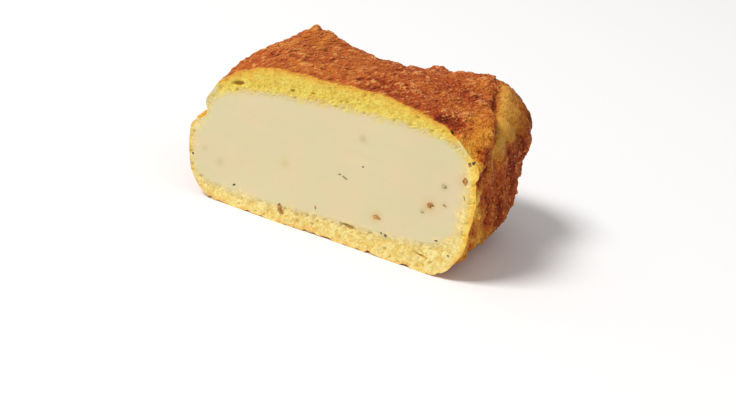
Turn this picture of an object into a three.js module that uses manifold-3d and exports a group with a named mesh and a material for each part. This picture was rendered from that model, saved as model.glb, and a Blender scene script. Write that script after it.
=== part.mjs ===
// One half of a square fried potato knish, cut straight across the middle: a dough crust with a
// browned, crumbly outside, and the potato filling that runs through it and shows at the cut.
// Units are millimetres. +X runs along the cut, +Y from the cut to the uncut side, +Z up.
// The form is worked out from the middle of the cut, and the finished half is then moved so that
// its origin is under its middle, on the surface it rests on.
import * as THREE from "three";
import { mergeVertices } from "three/addons/utils/BufferGeometryUtils.js";
import Module from "manifold-3d";

const wasm = await Module();
wasm.setup();

const { lerp, smoothstep } = THREE.MathUtils;

// ---- driving sizes -------------------------------------------------------------------------

const LEFT_REACH = 41.2; // widest point of the cut face, left of its middle
const RIGHT_REACH = 39; // and right of it
const DEPTH = 50; // from the cut to the back
const HEIGHT = 42.6; // from the underside to the crown
const BELLY = 2.4; // how far the round form is pressed flat by its own weight
const CROWN_FALL = 0.055; // the top sinks this much for each millimetre to the left
const MIDDLE = { x: -0.28, y: 24.97 }; // of the finished half, from the middle of the cut

// Squareness of the edges: 2 is an ellipse, more is squarer. It goes from left to right, and the
// upper right edge is squarer behind the cut, at the cheek, than at the cut itself.
const PLAN_POWER = 7;
const SKIN_POWER = { top: { left: 3.6, right: 2.95, behind: 4.4 }, base: { left: 3.8, right: 4 } };
const FILLING_POWER = { top: { left: 6, right: 3.7 }, base: { left: 5.5, right: 5.5 } };
const CHEEK = { from: 0, full: 8, fading: 14, to: 30 }; // distances from the cut

// Thickness of the dough, which is thick above and below the filling and thin at the ends.
const LEFT_WALL = 2.2;
const RIGHT_WALL = 2.5;
const BACK_WALL = 4;
const ROOF = { middle: 7, slope: 0.06 }; // thinner to the right
const FLOOR = { middle: 6, slope: 0.06 }; // thicker to the right
const FILLING_GAP = 0.3;

// The seam where the top sheet is folded over the left end, climbing from the cut to the corner.
const SEAM = { height: 28.9, slope: 0.118, climb: 0.24, groove: 1.4, width: 1.4, shift: 0.6 };
// At the left end the top sheet stands back from the lower lobe by this much, over these heights
// from the seam. The filling follows a little deeper and lower.
const SKIN_STEP = { inset: 3.2, from: -5.5, to: 1 };
const FILLING_STEP = { inset: 2.9, from: -6.5, to: 0 };
// At the right end the sheet ends in a lip along a fold that climbs steeply from the cut and runs
// on over the top, where a smooth lobe wraps round the back corner.
const FOLD = { at: new THREE.Vector3(39.5, 0, 30), over: new THREE.Vector3(-0.867, -0.389, 0.312) };
const LIP = { proud: 1.2, width: 2.2 };

// The back edge rises to its corners, like the edge of a cushion, and at a lump between them.
const RISES = [
  { x: -24.5, y: 43, lift: 2.2, spread: 6.5 },
  { x: 28.5, y: 41, lift: 5.1, spread: 9.5 },
  { x: 9.5, y: 43, lift: 2.6, spread: 3 },
];
const SAG = { x: 0, y: 42, drop: 2.3, spread: 6 }; // it dips beside the lump
const SHOULDER = { x: -31, lift: 1.9, spread: 8, from: 1, to: 16 }; // ridge along the left edge
// Small knobs at the tip of the left back corner.
const KNOBS = [
  { x: -25.7, y: 39, z: 40.2, lift: 1.7, spread: 1.3 },
  { x: -23.2, y: 43.4, z: 39.8, lift: 1.7, spread: 1.7 },
];
const KNOB_WAY = new THREE.Vector3(-0.3, 0.4, 0.85);
// Swollen spots where the top sheet ends in a ragged lip over the right end.
const LIP_KNOBS = [
  { x: 38, y: 9.5, z: 35.5, lift: 1.5, spread: 1.7 },
  { x: 37, y: 14.5, z: 38.5, lift: 1.2, spread: 1.7 },
  { x: 37.5, y: 2.5, z: 32.5, lift: 0.9, spread: 1.3 },
];
// Folded dough swells the right end near the back corner, above and below.
const END_LOBES = [
  { y: 37, z: 36, swell: 4.4, spread: 9.5 },
  { y: 28, z: 6, swell: 2, spread: 11 },
];

// Furrows down the ends, at their full depth from `start` behind the cut.
const PUCKERS = { depth: 0.9, pitch: 9, lean: 0.6, stray: 2.5, start: 5 };
const SWELLS = { height: 0.55, size: 13 }; // broad unevenness of the dough
const CRAGS = { height: 0.5, size: 4.2 }; // crumbly fried surface
const FOOT_EDGE = 1.6; // height over which the sides round into the flat underside

const CUT = { wave: 0.25, size: 16 }; // the knife's slightly uneven face
const KNIFE = { wide: 120, deep: 80, high: 80 }; // block that takes the other half away

// Cells of the surfaces.
const SKIN_CELL = 2.3;
const INNER_CELL = 4.2;
const CUT_CELL = 5;

// Fried onion bits in the filling that stand a little out of the cut: place, size and turn.
const BITS = [
  { x: 14.1, z: 10.7, long: 2.3, wide: 1.2, turn: 0.1 },
  { x: 27.4, z: 18.5, long: 1.8, wide: 1.4, turn: -0.5 },
  { x: 25.6, z: 16.3, long: 1, wide: 0.8, turn: 0.6 },
  { x: 34.6, z: 27.6, long: 2.4, wide: 1, turn: 1.3 },
  { x: 29.9, z: 24.6, long: 1.2, wide: 0.9, turn: 0.3 },
  { x: 30.9, z: 19.7, long: 1.1, wide: 0.7, turn: 0.2 },
  { x: -26.2, z: 6.6, long: 1.2, wide: 0.6, turn: 0.7 },
  { x: 3.9, z: 18.4, long: 2.2, wide: 0.7, turn: -0.3 },
  { x: -13, z: 17, long: 1.7, wide: 1.3, turn: 0.2 },
  { x: 6.7, z: 30.2, long: 1.2, wide: 0.9, turn: 0 },
];
const BIT_RISE = 0.5;

// Open pores and tears of the crumb at the cut: place, size, depth and turn.
const PORES = [
  { x: -29.3, z: 34.2, long: 3.4, wide: 1.5, deep: 1.4, turn: -0.3 },
  { x: -14.3, z: 36.7, long: 1.8, wide: 1.1, deep: 0.9, turn: -0.3 },
  { x: -8.6, z: 37.6, long: 1.4, wide: 0.9, deep: 0.8, turn: -0.2 },
  { x: 7, z: 5.6, long: 4.8, wide: 1.6, deep: 1.3, turn: 0.1 },
  { x: 27.4, z: 4.4, long: 3.8, wide: 1, deep: 1.1, turn: 0.2 },
  { x: -11.8, z: 3, long: 1.5, wide: 1.8, deep: 0.9, turn: 0.4 },
  { x: -2.8, z: 2.7, long: 2, wide: 1, deep: 0.8, turn: 0.5 },
  { x: 19.6, z: 40, long: 1.5, wide: 0.9, deep: 0.7, turn: 0.1 },
];

// ---- small tools ---------------------------------------------------------------------------

// The same surface with one vertex at each corner and nothing but positions.
function welded(geometry) {
  const bare = geometry.clone();
  bare.deleteAttribute("normal");
  bare.deleteAttribute("uv");
  return mergeVertices(bare, 1e-4);
}

// A closed geometry as a solid.
function solidOf(geometry) {
  const { attributes, index } = welded(geometry);
  return new wasm.Manifold(
    new wasm.Mesh({
      numProp: 3,
      vertProperties: new Float32Array(attributes.position.array),
      triVerts: new Uint32Array(index.array),
    }),
  );
}

// A solid as a named mesh.
function meshOf(name, solid, material) {
  const { vertProperties, triVerts } = solid.getMesh();
  const geometry = new THREE.BufferGeometry();
  geometry.setAttribute("position", new THREE.BufferAttribute(vertProperties, 3));
  geometry.setIndex(new THREE.BufferAttribute(triVerts, 1));
  const mesh = new THREE.Mesh(geometry, material);
  mesh.name = name;
  return mesh;
}

// Moves each vertex of a geometry: place(point, facing) changes the point.
function reshape(geometry, place) {
  const { position, normal } = geometry.attributes;
  const point = new THREE.Vector3();
  const facing = new THREE.Vector3();
  for (let i = 0; i < position.count; i++) {
    point.fromBufferAttribute(position, i);
    if (normal) facing.fromBufferAttribute(normal, i);
    place(point, facing);
    position.setXYZ(i, point.x, point.y, point.z);
  }
  return geometry;
}

const bell = (distance, spread) => Math.exp(-(distance ** 2) / (2 * spread ** 2));

// A repeatable number from 0 to 1 for a lattice point.
function hash(x, y, z) {
  let h = Math.imul(x, 374761393) ^ Math.imul(y, 668265263) ^ Math.imul(z, 1442695041);
  h = Math.imul(h ^ (h >>> 13), 1274126177);
  return ((h ^ (h >>> 16)) >>> 0) / 4294967295;
}

// Smooth unevenness from -1 to 1, with lumps about `size` across.
function lumps(point, size, layer) {
  const at = point.clone().divideScalar(size).addScalar(layer * 17.3);
  const cell = at.clone().floor();
  const ease = at.sub(cell).toArray().map((t) => t * t * (3 - 2 * t));
  let sum = 0;
  for (const dx of [0, 1])
    for (const dy of [0, 1])
      for (const dz of [0, 1]) {
        const share =
          (dx ? ease[0] : 1 - ease[0]) * (dy ? ease[1] : 1 - ease[1]) * (dz ? ease[2] : 1 - ease[2]);
        sum += share * hash(cell.x + dx, cell.y + dy, cell.z + dz);
      }
  return 2 * sum - 1;
}

// ---- the knish's form ----------------------------------------------------------------------

const seamHeight = (x, y) => SEAM.height + SEAM.slope * x + SEAM.climb * Math.max(y, 0);

const crownHeight = (x) => HEIGHT + CROWN_FALL * Math.min(x, 0);

// Reach of the outer surface in each direction.
const SKIN = {
  power: SKIN_POWER,
  step: SKIN_STEP,
  left: LEFT_REACH,
  right: RIGHT_REACH,
  back: DEPTH,
  top: crownHeight,
  base: () => -BELLY,
};

// Reach of the filling, made larger all round by `gap`.
function fillingReach(gap) {
  return {
    power: FILLING_POWER,
    step: FILLING_STEP,
    left: LEFT_REACH - LEFT_WALL + gap,
    right: RIGHT_REACH - RIGHT_WALL + gap,
    back: DEPTH - BACK_WALL + gap,
    top: (x) => crownHeight(x) - ROOF.middle + ROOF.slope * x + gap,
    base: (x) => FLOOR.middle + FLOOR.slope * x - gap,
  };
}

// A whole cushion of the given reach, its faces split into cells of about `size`.
function cushion(reach, size) {
  const cells = (length) => Math.max(2, Math.round(length / size));
  const across = cells(reach.left + reach.right);
  const along = cells(2 * reach.back);
  const up = cells(reach.top(0) - reach.base(0));
  return reshape(new THREE.BoxGeometry(2, 2, 2, across, along, up), (p) => {
    const { left, right, behind = right } = p.z > 0 ? reach.power.top : reach.power.base;
    const y = Math.abs(p.y) * reach.back;
    const cheek = smoothstep(y, CHEEK.from, CHEEK.full) * (1 - smoothstep(y, CHEEK.fading, CHEEK.to));
    const far = lerp(right, behind, cheek);
    const power = lerp(left, far, (p.x + 1) / 2);
    const plan = (Math.abs(p.x) ** PLAN_POWER + Math.abs(p.y) ** PLAN_POWER) ** (1 / PLAN_POWER);
    p.divideScalar((plan ** power + Math.abs(p.z) ** power) ** (1 / power));
    p.x *= p.x < 0 ? reach.left : reach.right;
    p.y *= reach.back;
    p.z = lerp(reach.base(p.x), reach.top(p.x), (p.z + 1) / 2);
    foldEnds(p, reach.step);
    raiseEdges(p);
  });
}

// The upper lobe of the left end stands back, and the right end swells at its back corner.
function foldEnds(p, step) {
  const over = smoothstep(p.z - seamHeight(p.x, p.y), step.from, step.to);
  p.x += step.inset * over * smoothstep(-p.x, 18, 34);
  const rightEnd = smoothstep(p.x, 20, 36);
  for (const { y, z, swell, spread } of END_LOBES)
    p.x += swell * rightEnd * bell(Math.hypot(p.y - y, p.z - z), spread);
}

// The back edge and the left shoulder of the top.
function raiseEdges(p) {
  const upper = smoothstep(p.z, 14, 36);
  for (const { x, y, lift, spread } of RISES)
    p.z += upper * lift * bell(Math.hypot(p.x - x, p.y - y), spread);
  p.z -= upper * SAG.drop * bell(Math.hypot(p.x - SAG.x, p.y - SAG.y), SAG.spread);
  const along = smoothstep(p.y, SHOULDER.from, SHOULDER.to) * (1 - smoothstep(p.y, 36, 50));
  p.z += upper * SHOULDER.lift * along * bell(p.x - SHOULDER.x, SHOULDER.spread);
}

// Distance along the surface from the right end's fold, more than 0 on the top sheet.
function overFold(p, facing) {
  const slope = FOLD.over.clone().projectOnPlane(facing).length();
  return p.clone().sub(FOLD.at).dot(FOLD.over) / Math.max(slope, 0.4);
}

// Height of the fried surface over the plain form, at a point of the outside.
function relief(p, facing) {
  const end = smoothstep(Math.abs(facing.x), 0.25, 0.7);
  const corner = smoothstep(Math.abs(p.x), 22, 34);
  const left = p.x < 0;
  const over = left ? p.z - seamHeight(p.x, p.y) : overFold(p, facing);
  const rightFold = smoothstep(p.z, 18, 26) * lerp(0.5, 1.2, smoothstep(p.y, 1, 8));
  const folded = corner * (left ? 1 : rightFold);
  let height = -SEAM.groove * folded * bell(over + SEAM.shift, SEAM.width);
  if (!left) height += LIP.proud * folded * bell(over - LIP.width, LIP.width);
  const stray = PUCKERS.stray * lumps(p, SWELLS.size, 4);
  const furrow = Math.sin(((p.y + PUCKERS.lean * p.z + stray) * 2 * Math.PI) / PUCKERS.pitch);
  const puckered = end * smoothstep(-over, 0, 4) * smoothstep(p.y, 0, PUCKERS.start);
  height -= PUCKERS.depth * puckered * smoothstep(furrow, 0.2, 1);
  height += SWELLS.height * lumps(p, SWELLS.size, 1);
  height += CRAGS.height * lumps(p, CRAGS.size, 2);
  return height;
}

// The knobs at the tip of the left back corner, drawn up and back, and those of the lip.
function drawKnobs(p, facing) {
  const reach = ({ x, y, z, lift, spread }) => lift * bell(Math.hypot(p.x - x, p.y - y, p.z - z), spread);
  for (const knob of LIP_KNOBS) p.addScaledVector(facing, reach(knob));
  for (const knob of KNOBS) p.addScaledVector(KNOB_WAY, reach(knob));
}

// Flat where the round form would go below the surface it rests on, with a soft edge.
function settle(p) {
  if (p.z < FOOT_EDGE) p.z = (Math.max(p.z, 0) * (p.z / FOOT_EDGE + 1)) / 2;
}

// What the knife took away: everything in front of a slightly uneven face.
function knife() {
  const { wide, deep, high } = KNIFE;
  const block = new THREE.BoxGeometry(wide, deep, high, wide / CUT_CELL, 1, high / CUT_CELL);
  block.translate(0, -deep / 2, HEIGHT / 2);
  return reshape(block, (p) => {
    if (p.y > -deep / 2) p.y += CUT.wave * lumps(p, CUT.size, 3);
  });
}

// A small flattened lump on the cut face.
function pip({ x, z, long, wide, turn }, thick) {
  const grain = new THREE.OctahedronGeometry(1, 1);
  grain.scale(long / 2, thick, wide / 2);
  grain.rotateY(turn);
  grain.translate(x, 0, z);
  return solidOf(grain);
}

// ---- the two pieces ------------------------------------------------------------------------

function makeCrust(cutter) {
  const skin = welded(cushion(SKIN, SKIN_CELL));
  skin.computeVertexNormals();
  reshape(skin, (p, facing) => {
    p.addScaledVector(facing, relief(p, facing));
    drawKnobs(p, facing);
    settle(p);
  });
  const hollow = solidOf(cushion(fillingReach(FILLING_GAP), INNER_CELL));
  let crust = solidOf(skin).subtract(hollow).subtract(cutter);
  for (const pore of PORES) crust = crust.subtract(pip(pore, pore.deep));
  return crust;
}

function makeFilling(cutter) {
  let filling = solidOf(cushion(fillingReach(0), INNER_CELL)).subtract(cutter);
  for (const bit of BITS) filling = filling.add(pip(bit, BIT_RISE));
  return filling;
}

const friedDough = new THREE.MeshStandardMaterial({ color: "#b8662a", roughness: 0.75, metalness: 0 });
const potatoMash = new THREE.MeshStandardMaterial({ color: "#e4d5a8", roughness: 0.6, metalness: 0 });

const cutter = solidOf(knife());
const knish = new THREE.Group();
knish.add(meshOf("crust", makeCrust(cutter), friedDough));
knish.add(meshOf("filling", makeFilling(cutter), potatoMash));
knish.position.set(-MIDDLE.x, -MIDDLE.y, 0);

export default knish;
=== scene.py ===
"""Looks of one half of a square fried potato knish, cut straight across.

The fried dough crust and the potato filling stand for the solids of the same name and keep their
form. Lengths are in millimetres, and become metres where a mesh is written. The form is worked out
from the middle of the cut on the underside: +X along the cut, +Y from the cut to the uncut side.
"""

import itertools
import logging
import math
from dataclasses import dataclass, replace
from enum import Enum
from typing import Any, Union

import bmesh
import bpy
import numpy as np
from mathutils import Matrix, Vector


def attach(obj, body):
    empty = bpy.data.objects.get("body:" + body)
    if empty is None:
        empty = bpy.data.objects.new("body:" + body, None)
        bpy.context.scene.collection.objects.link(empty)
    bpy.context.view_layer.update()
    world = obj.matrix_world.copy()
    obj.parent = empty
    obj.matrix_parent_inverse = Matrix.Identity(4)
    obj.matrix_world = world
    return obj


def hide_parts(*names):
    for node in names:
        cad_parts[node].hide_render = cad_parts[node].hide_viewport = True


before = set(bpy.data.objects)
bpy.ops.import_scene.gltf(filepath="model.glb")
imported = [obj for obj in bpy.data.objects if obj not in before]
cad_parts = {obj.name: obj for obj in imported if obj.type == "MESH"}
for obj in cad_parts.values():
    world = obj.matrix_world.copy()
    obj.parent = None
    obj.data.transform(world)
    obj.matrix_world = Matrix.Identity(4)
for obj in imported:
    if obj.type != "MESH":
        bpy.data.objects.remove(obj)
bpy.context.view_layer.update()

BODY = "root"
MM = 0.001
SMOOTH_ANGLE = math.radians(50)  # edges that are sharper than this stay sharp

# The noise's own numbers. Those of the lumps are the same as in the solids, to give the same form.
WORD = 0xFFFFFFFF
HASH_AXES = (374761393, 668265263, 1442695041)
HASH_SPREAD = 1274126177
LAYER_STEP = 17.3
GRAIN_PLACE = (101, 211, 307)  # cell shifts that give the three numbers of a grain's place
GRAIN_OWN = 401  # and the one that gives its own number
GRAIN_CREASE = 0.7  # how far from a crease, in cells, a grain has its full height

log = logging.getLogger("knish")


# ---- numbers and noise ---------------------------------------------------------------------------

def lerp(start: Any, end: Any, share: Any) -> Any:
    """The value that lies the given share of the way from start to end."""
    return start + (end - start) * share


def smooth(value: Any, low: float, high: float) -> Any:
    """0 up to low, 1 from high, and an even curve between."""
    share = np.clip((value - low) / (high - low), 0, 1)
    return share * share * (3 - 2 * share)


def bell(distance: Any, spread: float) -> Any:
    """1 at no distance, falling off in a bell curve."""
    return np.exp(-(distance**2) / (2 * spread**2))


@dataclass(frozen=True)
class Fade:
    """A share that goes from 0 at one value to 1 at another, in an even curve."""

    start: float
    end: float

    def at(self, value: Any) -> Any:
        """The share at a value."""
        return smooth(value, self.start, self.end)


def hashed(cells: np.ndarray) -> np.ndarray:
    """A repeatable number for each point of a lattice.

    Args:
        cells: the points, three columns of whole numbers.

    Returns:
        One number from 0 to 1 for each point.
    """
    x, y, z = (cells * HASH_AXES).T
    mixed = (x ^ y ^ z) & WORD
    mixed = ((mixed ^ (mixed >> 13)) * HASH_SPREAD) & WORD
    return (mixed ^ (mixed >> 16)) / WORD


def lumps(points: np.ndarray, size: Any, layer: float) -> np.ndarray:
    """Smooth unevenness from -1 to 1.

    Args:
        points: places, three columns.
        size: how far across the lumps are, one number or one for each axis.
        layer: which of the independent patterns is read.

    Returns:
        One height for each point.
    """
    at = points / size + layer * LAYER_STEP
    cell = np.floor(at)
    ease = (at - cell) ** 2 * (3 - 2 * (at - cell))
    total = np.zeros(len(points))
    for corner in itertools.product((0, 1), repeat=3):
        share = np.prod(np.where(corner, ease, 1 - ease), axis=1)
        total += share * hashed(cell.astype(np.int64) + corner)
    return 2 * total - 1


def grains(points: np.ndarray, size: Any, layer: float) -> tuple[np.ndarray, np.ndarray]:
    """Rounded grains that lie close side by side.

    Args:
        points: places, three columns.
        size: how far across the grains are, one number or one for each axis.
        layer: which of the independent patterns is read.

    Returns:
        The height at each point, from 0 in the creases to 1, and its grain's own number, 0 to 1.
    """
    at = points / size + layer * LAYER_STEP
    cell = np.floor(at).astype(np.int64)
    nearest = np.full(len(points), np.inf)
    second = nearest.copy()
    own = np.zeros(len(points))
    for step in itertools.product((-1, 0, 1), repeat=3):
        corner = cell + step
        inside = [hashed(corner + (shift, 0, 0)) for shift in GRAIN_PLACE]
        middle = corner + np.stack(inside, axis=1)
        away = np.linalg.norm(at - middle, axis=1)
        closer = away < nearest
        second = np.where(closer, nearest, np.minimum(second, away))
        own = np.where(closer, hashed(corner + (GRAIN_OWN, 0, 0)), own)
        nearest = np.where(closer, away, nearest)
    return np.sqrt(np.clip((second - nearest) / GRAIN_CREASE, 0, 1)), own


def in_axes(points: np.ndarray, first: Vector, last: Vector) -> np.ndarray:
    """The points in turned axes, of which the first and the last are given."""
    return points @ np.array((first, last.cross(first), last)).T


# ---- the knish's form ----------------------------------------------------------------------------

@dataclass(frozen=True)
class Lobe:
    """Reach of a cushion-shaped body from the middle of the cut, and how square its edges are."""

    left: float
    right: float
    back: float
    power_left: float  # of the upper edges
    power_right: float
    power_behind: float  # of the upper right edge, at the cheek behind the cut
    base_left: float  # of the lower edges
    base_right: float
    inset: float  # how far the upper left end stands back from the lower one
    inset_from: float  # over these heights from the seam
    inset_to: float
    roof: float = 0.0  # thickness of what lies over it, at the middle
    roof_slope: float = 0.0  # thinner by this for each millimetre to the right
    floor: float = 0.0  # height of its lowest part, at the middle
    floor_slope: float = 0.0

    def grown(self, gap: float) -> "Lobe":
        """The same lobe, larger all round by a gap."""
        return replace(self, left=self.left + gap, right=self.right + gap, back=self.back + gap,
                       roof=self.roof - gap, floor=self.floor - gap)


@dataclass(frozen=True)
class Rise:
    """A rounded rise of the top's edge round a place in plan."""

    x: float
    y: float
    lift: float
    spread: float


@dataclass(frozen=True)
class EndSwell:
    """A rounded swelling of the right end round a place on it."""

    y: float
    z: float
    swell: float
    spread: float


@dataclass(frozen=True)
class Knob:
    """A small rounded knob, round a place on the plain surface."""

    place: Vector
    lift: float
    spread: float

    def reach(self, p: np.ndarray) -> np.ndarray:
        """How far the knob draws out each point."""
        return self.lift * bell(np.linalg.norm(p - np.array(self.place), axis=1), self.spread)


@dataclass(frozen=True)
class KnishForm:
    """Sizes of the half and the rules that give its surface."""

    height: float = 42.6
    crown_fall: float = 0.055  # the top sinks by this for each millimetre to the left
    middle_x: float = -0.28  # of the finished half, from the middle of the cut
    middle_y: float = 24.97
    plan_power: float = 7.0
    skin: Lobe = Lobe(left=41.2, right=39.0, back=50.0, power_left=3.6, power_right=2.95,
                      power_behind=4.4, base_left=3.8, base_right=4.0,
                      inset=3.2, inset_from=-5.5, inset_to=1.0, floor=-2.4)
    mash: Lobe = Lobe(left=39.0, right=36.5, back=46.0, power_left=6.0, power_right=3.7,
                      power_behind=3.7, base_left=5.5, base_right=5.5,
                      inset=2.9, inset_from=-6.5, inset_to=0.0,
                      roof=7.0, roof_slope=0.06, floor=6.0, floor_slope=0.06)
    cheek_in: Fade = Fade(0, 8)  # distances behind the cut
    cheek_out: Fade = Fade(14, 30)
    step_end: Fade = Fade(18, 34)  # how far left the upper lobe's step sets in
    seam_height: float = 28.9  # of the left end's seam, at the middle of the cut
    seam_slope: float = 0.118
    seam_climb: float = 0.24
    seam_depth: float = 1.4
    seam_width: float = 1.4
    seam_shift: float = 0.6
    fold_at: Vector = Vector((39.5, 0, 30))  # where the right end's fold starts
    fold_over: Vector = Vector((-0.867, -0.389, 0.312))  # from it towards the top sheet
    fold_up: Fade = Fade(18, 26)  # heights over which the fold sets in
    fold_back: Fade = Fade(1, 8)  # distances behind the cut over which it deepens
    fold_depth: tuple[float, float] = (0.5, 1.2)
    least_slope: float = 0.4
    lip_proud: float = 1.2
    lip_width: float = 2.2
    rises: tuple[Rise, ...] = (Rise(-24.5, 43, 2.2, 6.5), Rise(28.5, 41, 5.1, 9.5),
                               Rise(9.5, 43, 2.6, 3), Rise(0, 42, -2.3, 6))
    upper: Fade = Fade(14, 36)  # heights over which the rises set in
    shoulder_x: float = -31.0
    shoulder_lift: float = 1.9
    shoulder_spread: float = 8.0
    shoulder_in: Fade = Fade(1, 16)  # distances behind the cut
    shoulder_out: Fade = Fade(36, 50)
    swell_end: Fade = Fade(20, 36)  # how far right the end's swellings set in
    end_swells: tuple[EndSwell, ...] = (EndSwell(37, 36, 4.4, 9.5), EndSwell(28, 6, 2, 11))
    knobs: tuple[Knob, ...] = (Knob(Vector((-25.7, 39, 40.2)), 1.7, 1.3),
                               Knob(Vector((-23.2, 43.4, 39.8)), 1.7, 1.7))
    knob_way: Vector = Vector((-0.3, 0.4, 0.85))
    lip_knobs: tuple[Knob, ...] = (Knob(Vector((38, 9.5, 35.5)), 1.5, 1.7),
                                   Knob(Vector((37, 14.5, 38.5)), 1.2, 1.7),
                                   Knob(Vector((37.5, 2.5, 32.5)), 0.9, 1.3))
    pucker_depth: float = 0.9
    pucker_pitch: float = 9.0
    pucker_lean: float = 0.6
    pucker_stray: float = 2.5
    pucker_in: Fade = Fade(0, 5)  # distances behind the cut over which they deepen
    pucker_under: Fade = Fade(0, 4)  # and below the fold
    pucker_side: Fade = Fade(0.2, 1)
    end_facing: Fade = Fade(0.25, 0.7)  # how far the surface faces along X, to count as an end
    corner: Fade = Fade(22, 34)  # how far from the middle the folds set in
    swell_height: float = 0.55
    swell_size: float = 13.0
    crag_height: float = 0.5
    crag_size: float = 4.2
    foot_edge: float = 1.6
    cut_wave: float = 0.25
    cut_wave_size: float = 16.0

    def over_seam(self, p: np.ndarray) -> np.ndarray:
        """Height of each point above the seam where the top sheet is folded over the left end."""
        seam = self.seam_height + self.seam_slope * p[:, 0]
        return p[:, 2] - seam - self.seam_climb * np.maximum(p[:, 1], 0)

    def over_fold(self, p: np.ndarray, facing: np.ndarray) -> np.ndarray:
        """Distance along the surface from the right end's fold.

        Args:
            p: points of the outside.
            facing: the plain surface's normal at each of them.

        Returns:
            One distance for each point, more than 0 on the top sheet.
        """
        over = np.array(self.fold_over)
        slope = np.linalg.norm(over - facing * (facing @ over)[:, None], axis=1)
        return (p - np.array(self.fold_at)) @ over / np.maximum(slope, self.least_slope)

    def on_sheet(self, p: np.ndarray, facing: np.ndarray) -> np.ndarray:
        """Distance of each point from the end of the top sheet, more than 0 on the sheet."""
        return np.where(p[:, 0] < 0, self.over_seam(p), self.over_fold(p, facing))

    def cushion(self, lobe: Lobe, box: np.ndarray) -> np.ndarray:
        """Points of a box from -1 to 1, drawn onto a lobe's plain surface.

        Args:
            lobe: the body's reach in each direction.
            box: points on the box, three columns.

        Returns:
            The points on the lobe, in millimetres.
        """
        across = (box[:, 0] + 1) / 2
        far = lerp(lobe.power_right, lobe.power_behind, self.cheek_share(np.abs(box[:, 1]) * lobe.back))
        power = np.where(box[:, 2] > 0, lerp(lobe.power_left, far, across),
                         lerp(lobe.base_left, lobe.base_right, across))
        plan_power = self.plan_power
        plan = np.sum(np.abs(box[:, :2]) ** plan_power, axis=1) ** (1 / plan_power)
        p = box / ((plan**power + np.abs(box[:, 2]) ** power) ** (1 / power))[:, None]
        p[:, 0] *= np.where(p[:, 0] < 0, lobe.left, lobe.right)
        p[:, 1] *= lobe.back
        crown = self.height + self.crown_fall * np.minimum(p[:, 0], 0)
        top = crown - lobe.roof + lobe.roof_slope * p[:, 0]
        base = lobe.floor + lobe.floor_slope * p[:, 0]
        p[:, 2] = lerp(base, top, (p[:, 2] + 1) / 2)
        self._fold_ends(p, lobe)
        self._raise_edges(p)
        return p

    def cheek_share(self, y: np.ndarray) -> np.ndarray:
        """How far the upper right edge is squared, 0 to 1, at distances from the cut."""
        return self.cheek_in.at(y) * (1 - self.cheek_out.at(y))

    def _fold_ends(self, p: np.ndarray, lobe: Lobe) -> None:
        """Sets the left end's upper lobe back, and swells the right end at its back corner.

        Args:
            p: points on the lobe, which are moved.
            lobe: the body they belong to.
        """
        over = smooth(self.over_seam(p), lobe.inset_from, lobe.inset_to)
        p[:, 0] += lobe.inset * over * self.step_end.at(-p[:, 0])
        right_end = self.swell_end.at(p[:, 0])
        for spot in self.end_swells:
            away = np.hypot(p[:, 1] - spot.y, p[:, 2] - spot.z)
            p[:, 0] += spot.swell * right_end * bell(away, spot.spread)

    def _raise_edges(self, p: np.ndarray) -> None:
        """Raises the back edge at its corners and the left shoulder of the top.

        Args:
            p: points on a lobe, which are moved.
        """
        upper = self.upper.at(p[:, 2])
        for rise in self.rises:
            away = np.hypot(p[:, 0] - rise.x, p[:, 1] - rise.y)
            p[:, 2] += upper * rise.lift * bell(away, rise.spread)
        along = self.shoulder_in.at(p[:, 1]) * (1 - self.shoulder_out.at(p[:, 1]))
        lift = self.shoulder_lift * along * bell(p[:, 0] - self.shoulder_x, self.shoulder_spread)
        p[:, 2] += upper * lift

    def relief(self, p: np.ndarray, facing: np.ndarray) -> np.ndarray:
        """Height of the folds, furrows and larger crags over the plain surface.

        Args:
            p: points of the outside.
            facing: the plain surface's normal at each of them.

        Returns:
            One height for each point.
        """
        x, y, z = p.T
        over = self.on_sheet(p, facing)
        right_fold = self.fold_up.at(z) * lerp(*self.fold_depth, self.fold_back.at(y))
        folded = self.corner.at(np.abs(x)) * np.where(x < 0, 1, right_fold)
        height = -self.seam_depth * folded * bell(over + self.seam_shift, self.seam_width)
        lip = self.lip_proud * folded * bell(over - self.lip_width, self.lip_width)
        height += np.where(x < 0, 0, lip)
        puckered = self.end_facing.at(np.abs(facing[:, 0])) * self.pucker_under.at(-over)
        puckered *= self.pucker_in.at(y)
        height -= self.pucker_depth * puckered * self.pucker_side.at(self.furrow(p))
        height += self.swell_height * lumps(p, self.swell_size, 1)
        height += self.crag_height * lumps(p, self.crag_size, 2)
        return height

    def furrow(self, p: np.ndarray) -> np.ndarray:
        """The wave of the furrows that run down the ends.

        Args:
            p: points of the outside.

        Returns:
            1 in the middle of a furrow, and -1 on the ridge between two.
        """
        stray = self.pucker_stray * lumps(p, self.swell_size, 4)
        lean = self.pucker_lean * p[:, 2]
        return np.sin((p[:, 1] + lean + stray) * 2 * np.pi / self.pucker_pitch)

    def draw_knobs(self, p: np.ndarray, facing: np.ndarray) -> None:
        """Draws the knobs of the left back corner up and back, and those of the lip out.

        Args:
            p: points of the outside, which are moved.
            facing: the plain surface's normal at each of them.
        """
        for knob in self.lip_knobs:
            p += knob.reach(p)[:, None] * facing
        for knob in self.knobs:
            p += knob.reach(p)[:, None] * np.array(self.knob_way)

    def settle(self, p: np.ndarray) -> None:
        """Flattens what would go below the surface that the half rests on, with a soft edge.

        Args:
            p: points of the outside, which are moved.
        """
        low = p[:, 2] < self.foot_edge
        z = p[low, 2]
        p[low, 2] = np.maximum(z, 0) * (z / self.foot_edge + 1) / 2

    def cut_level(self, p: np.ndarray) -> np.ndarray:
        """How far back the knife's slightly uneven face lies at each point."""
        flat = p * (1, 0, 1)
        return self.cut_wave * lumps(flat, self.cut_wave_size, 3)


# ---- modelling tools -----------------------------------------------------------------------------

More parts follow.
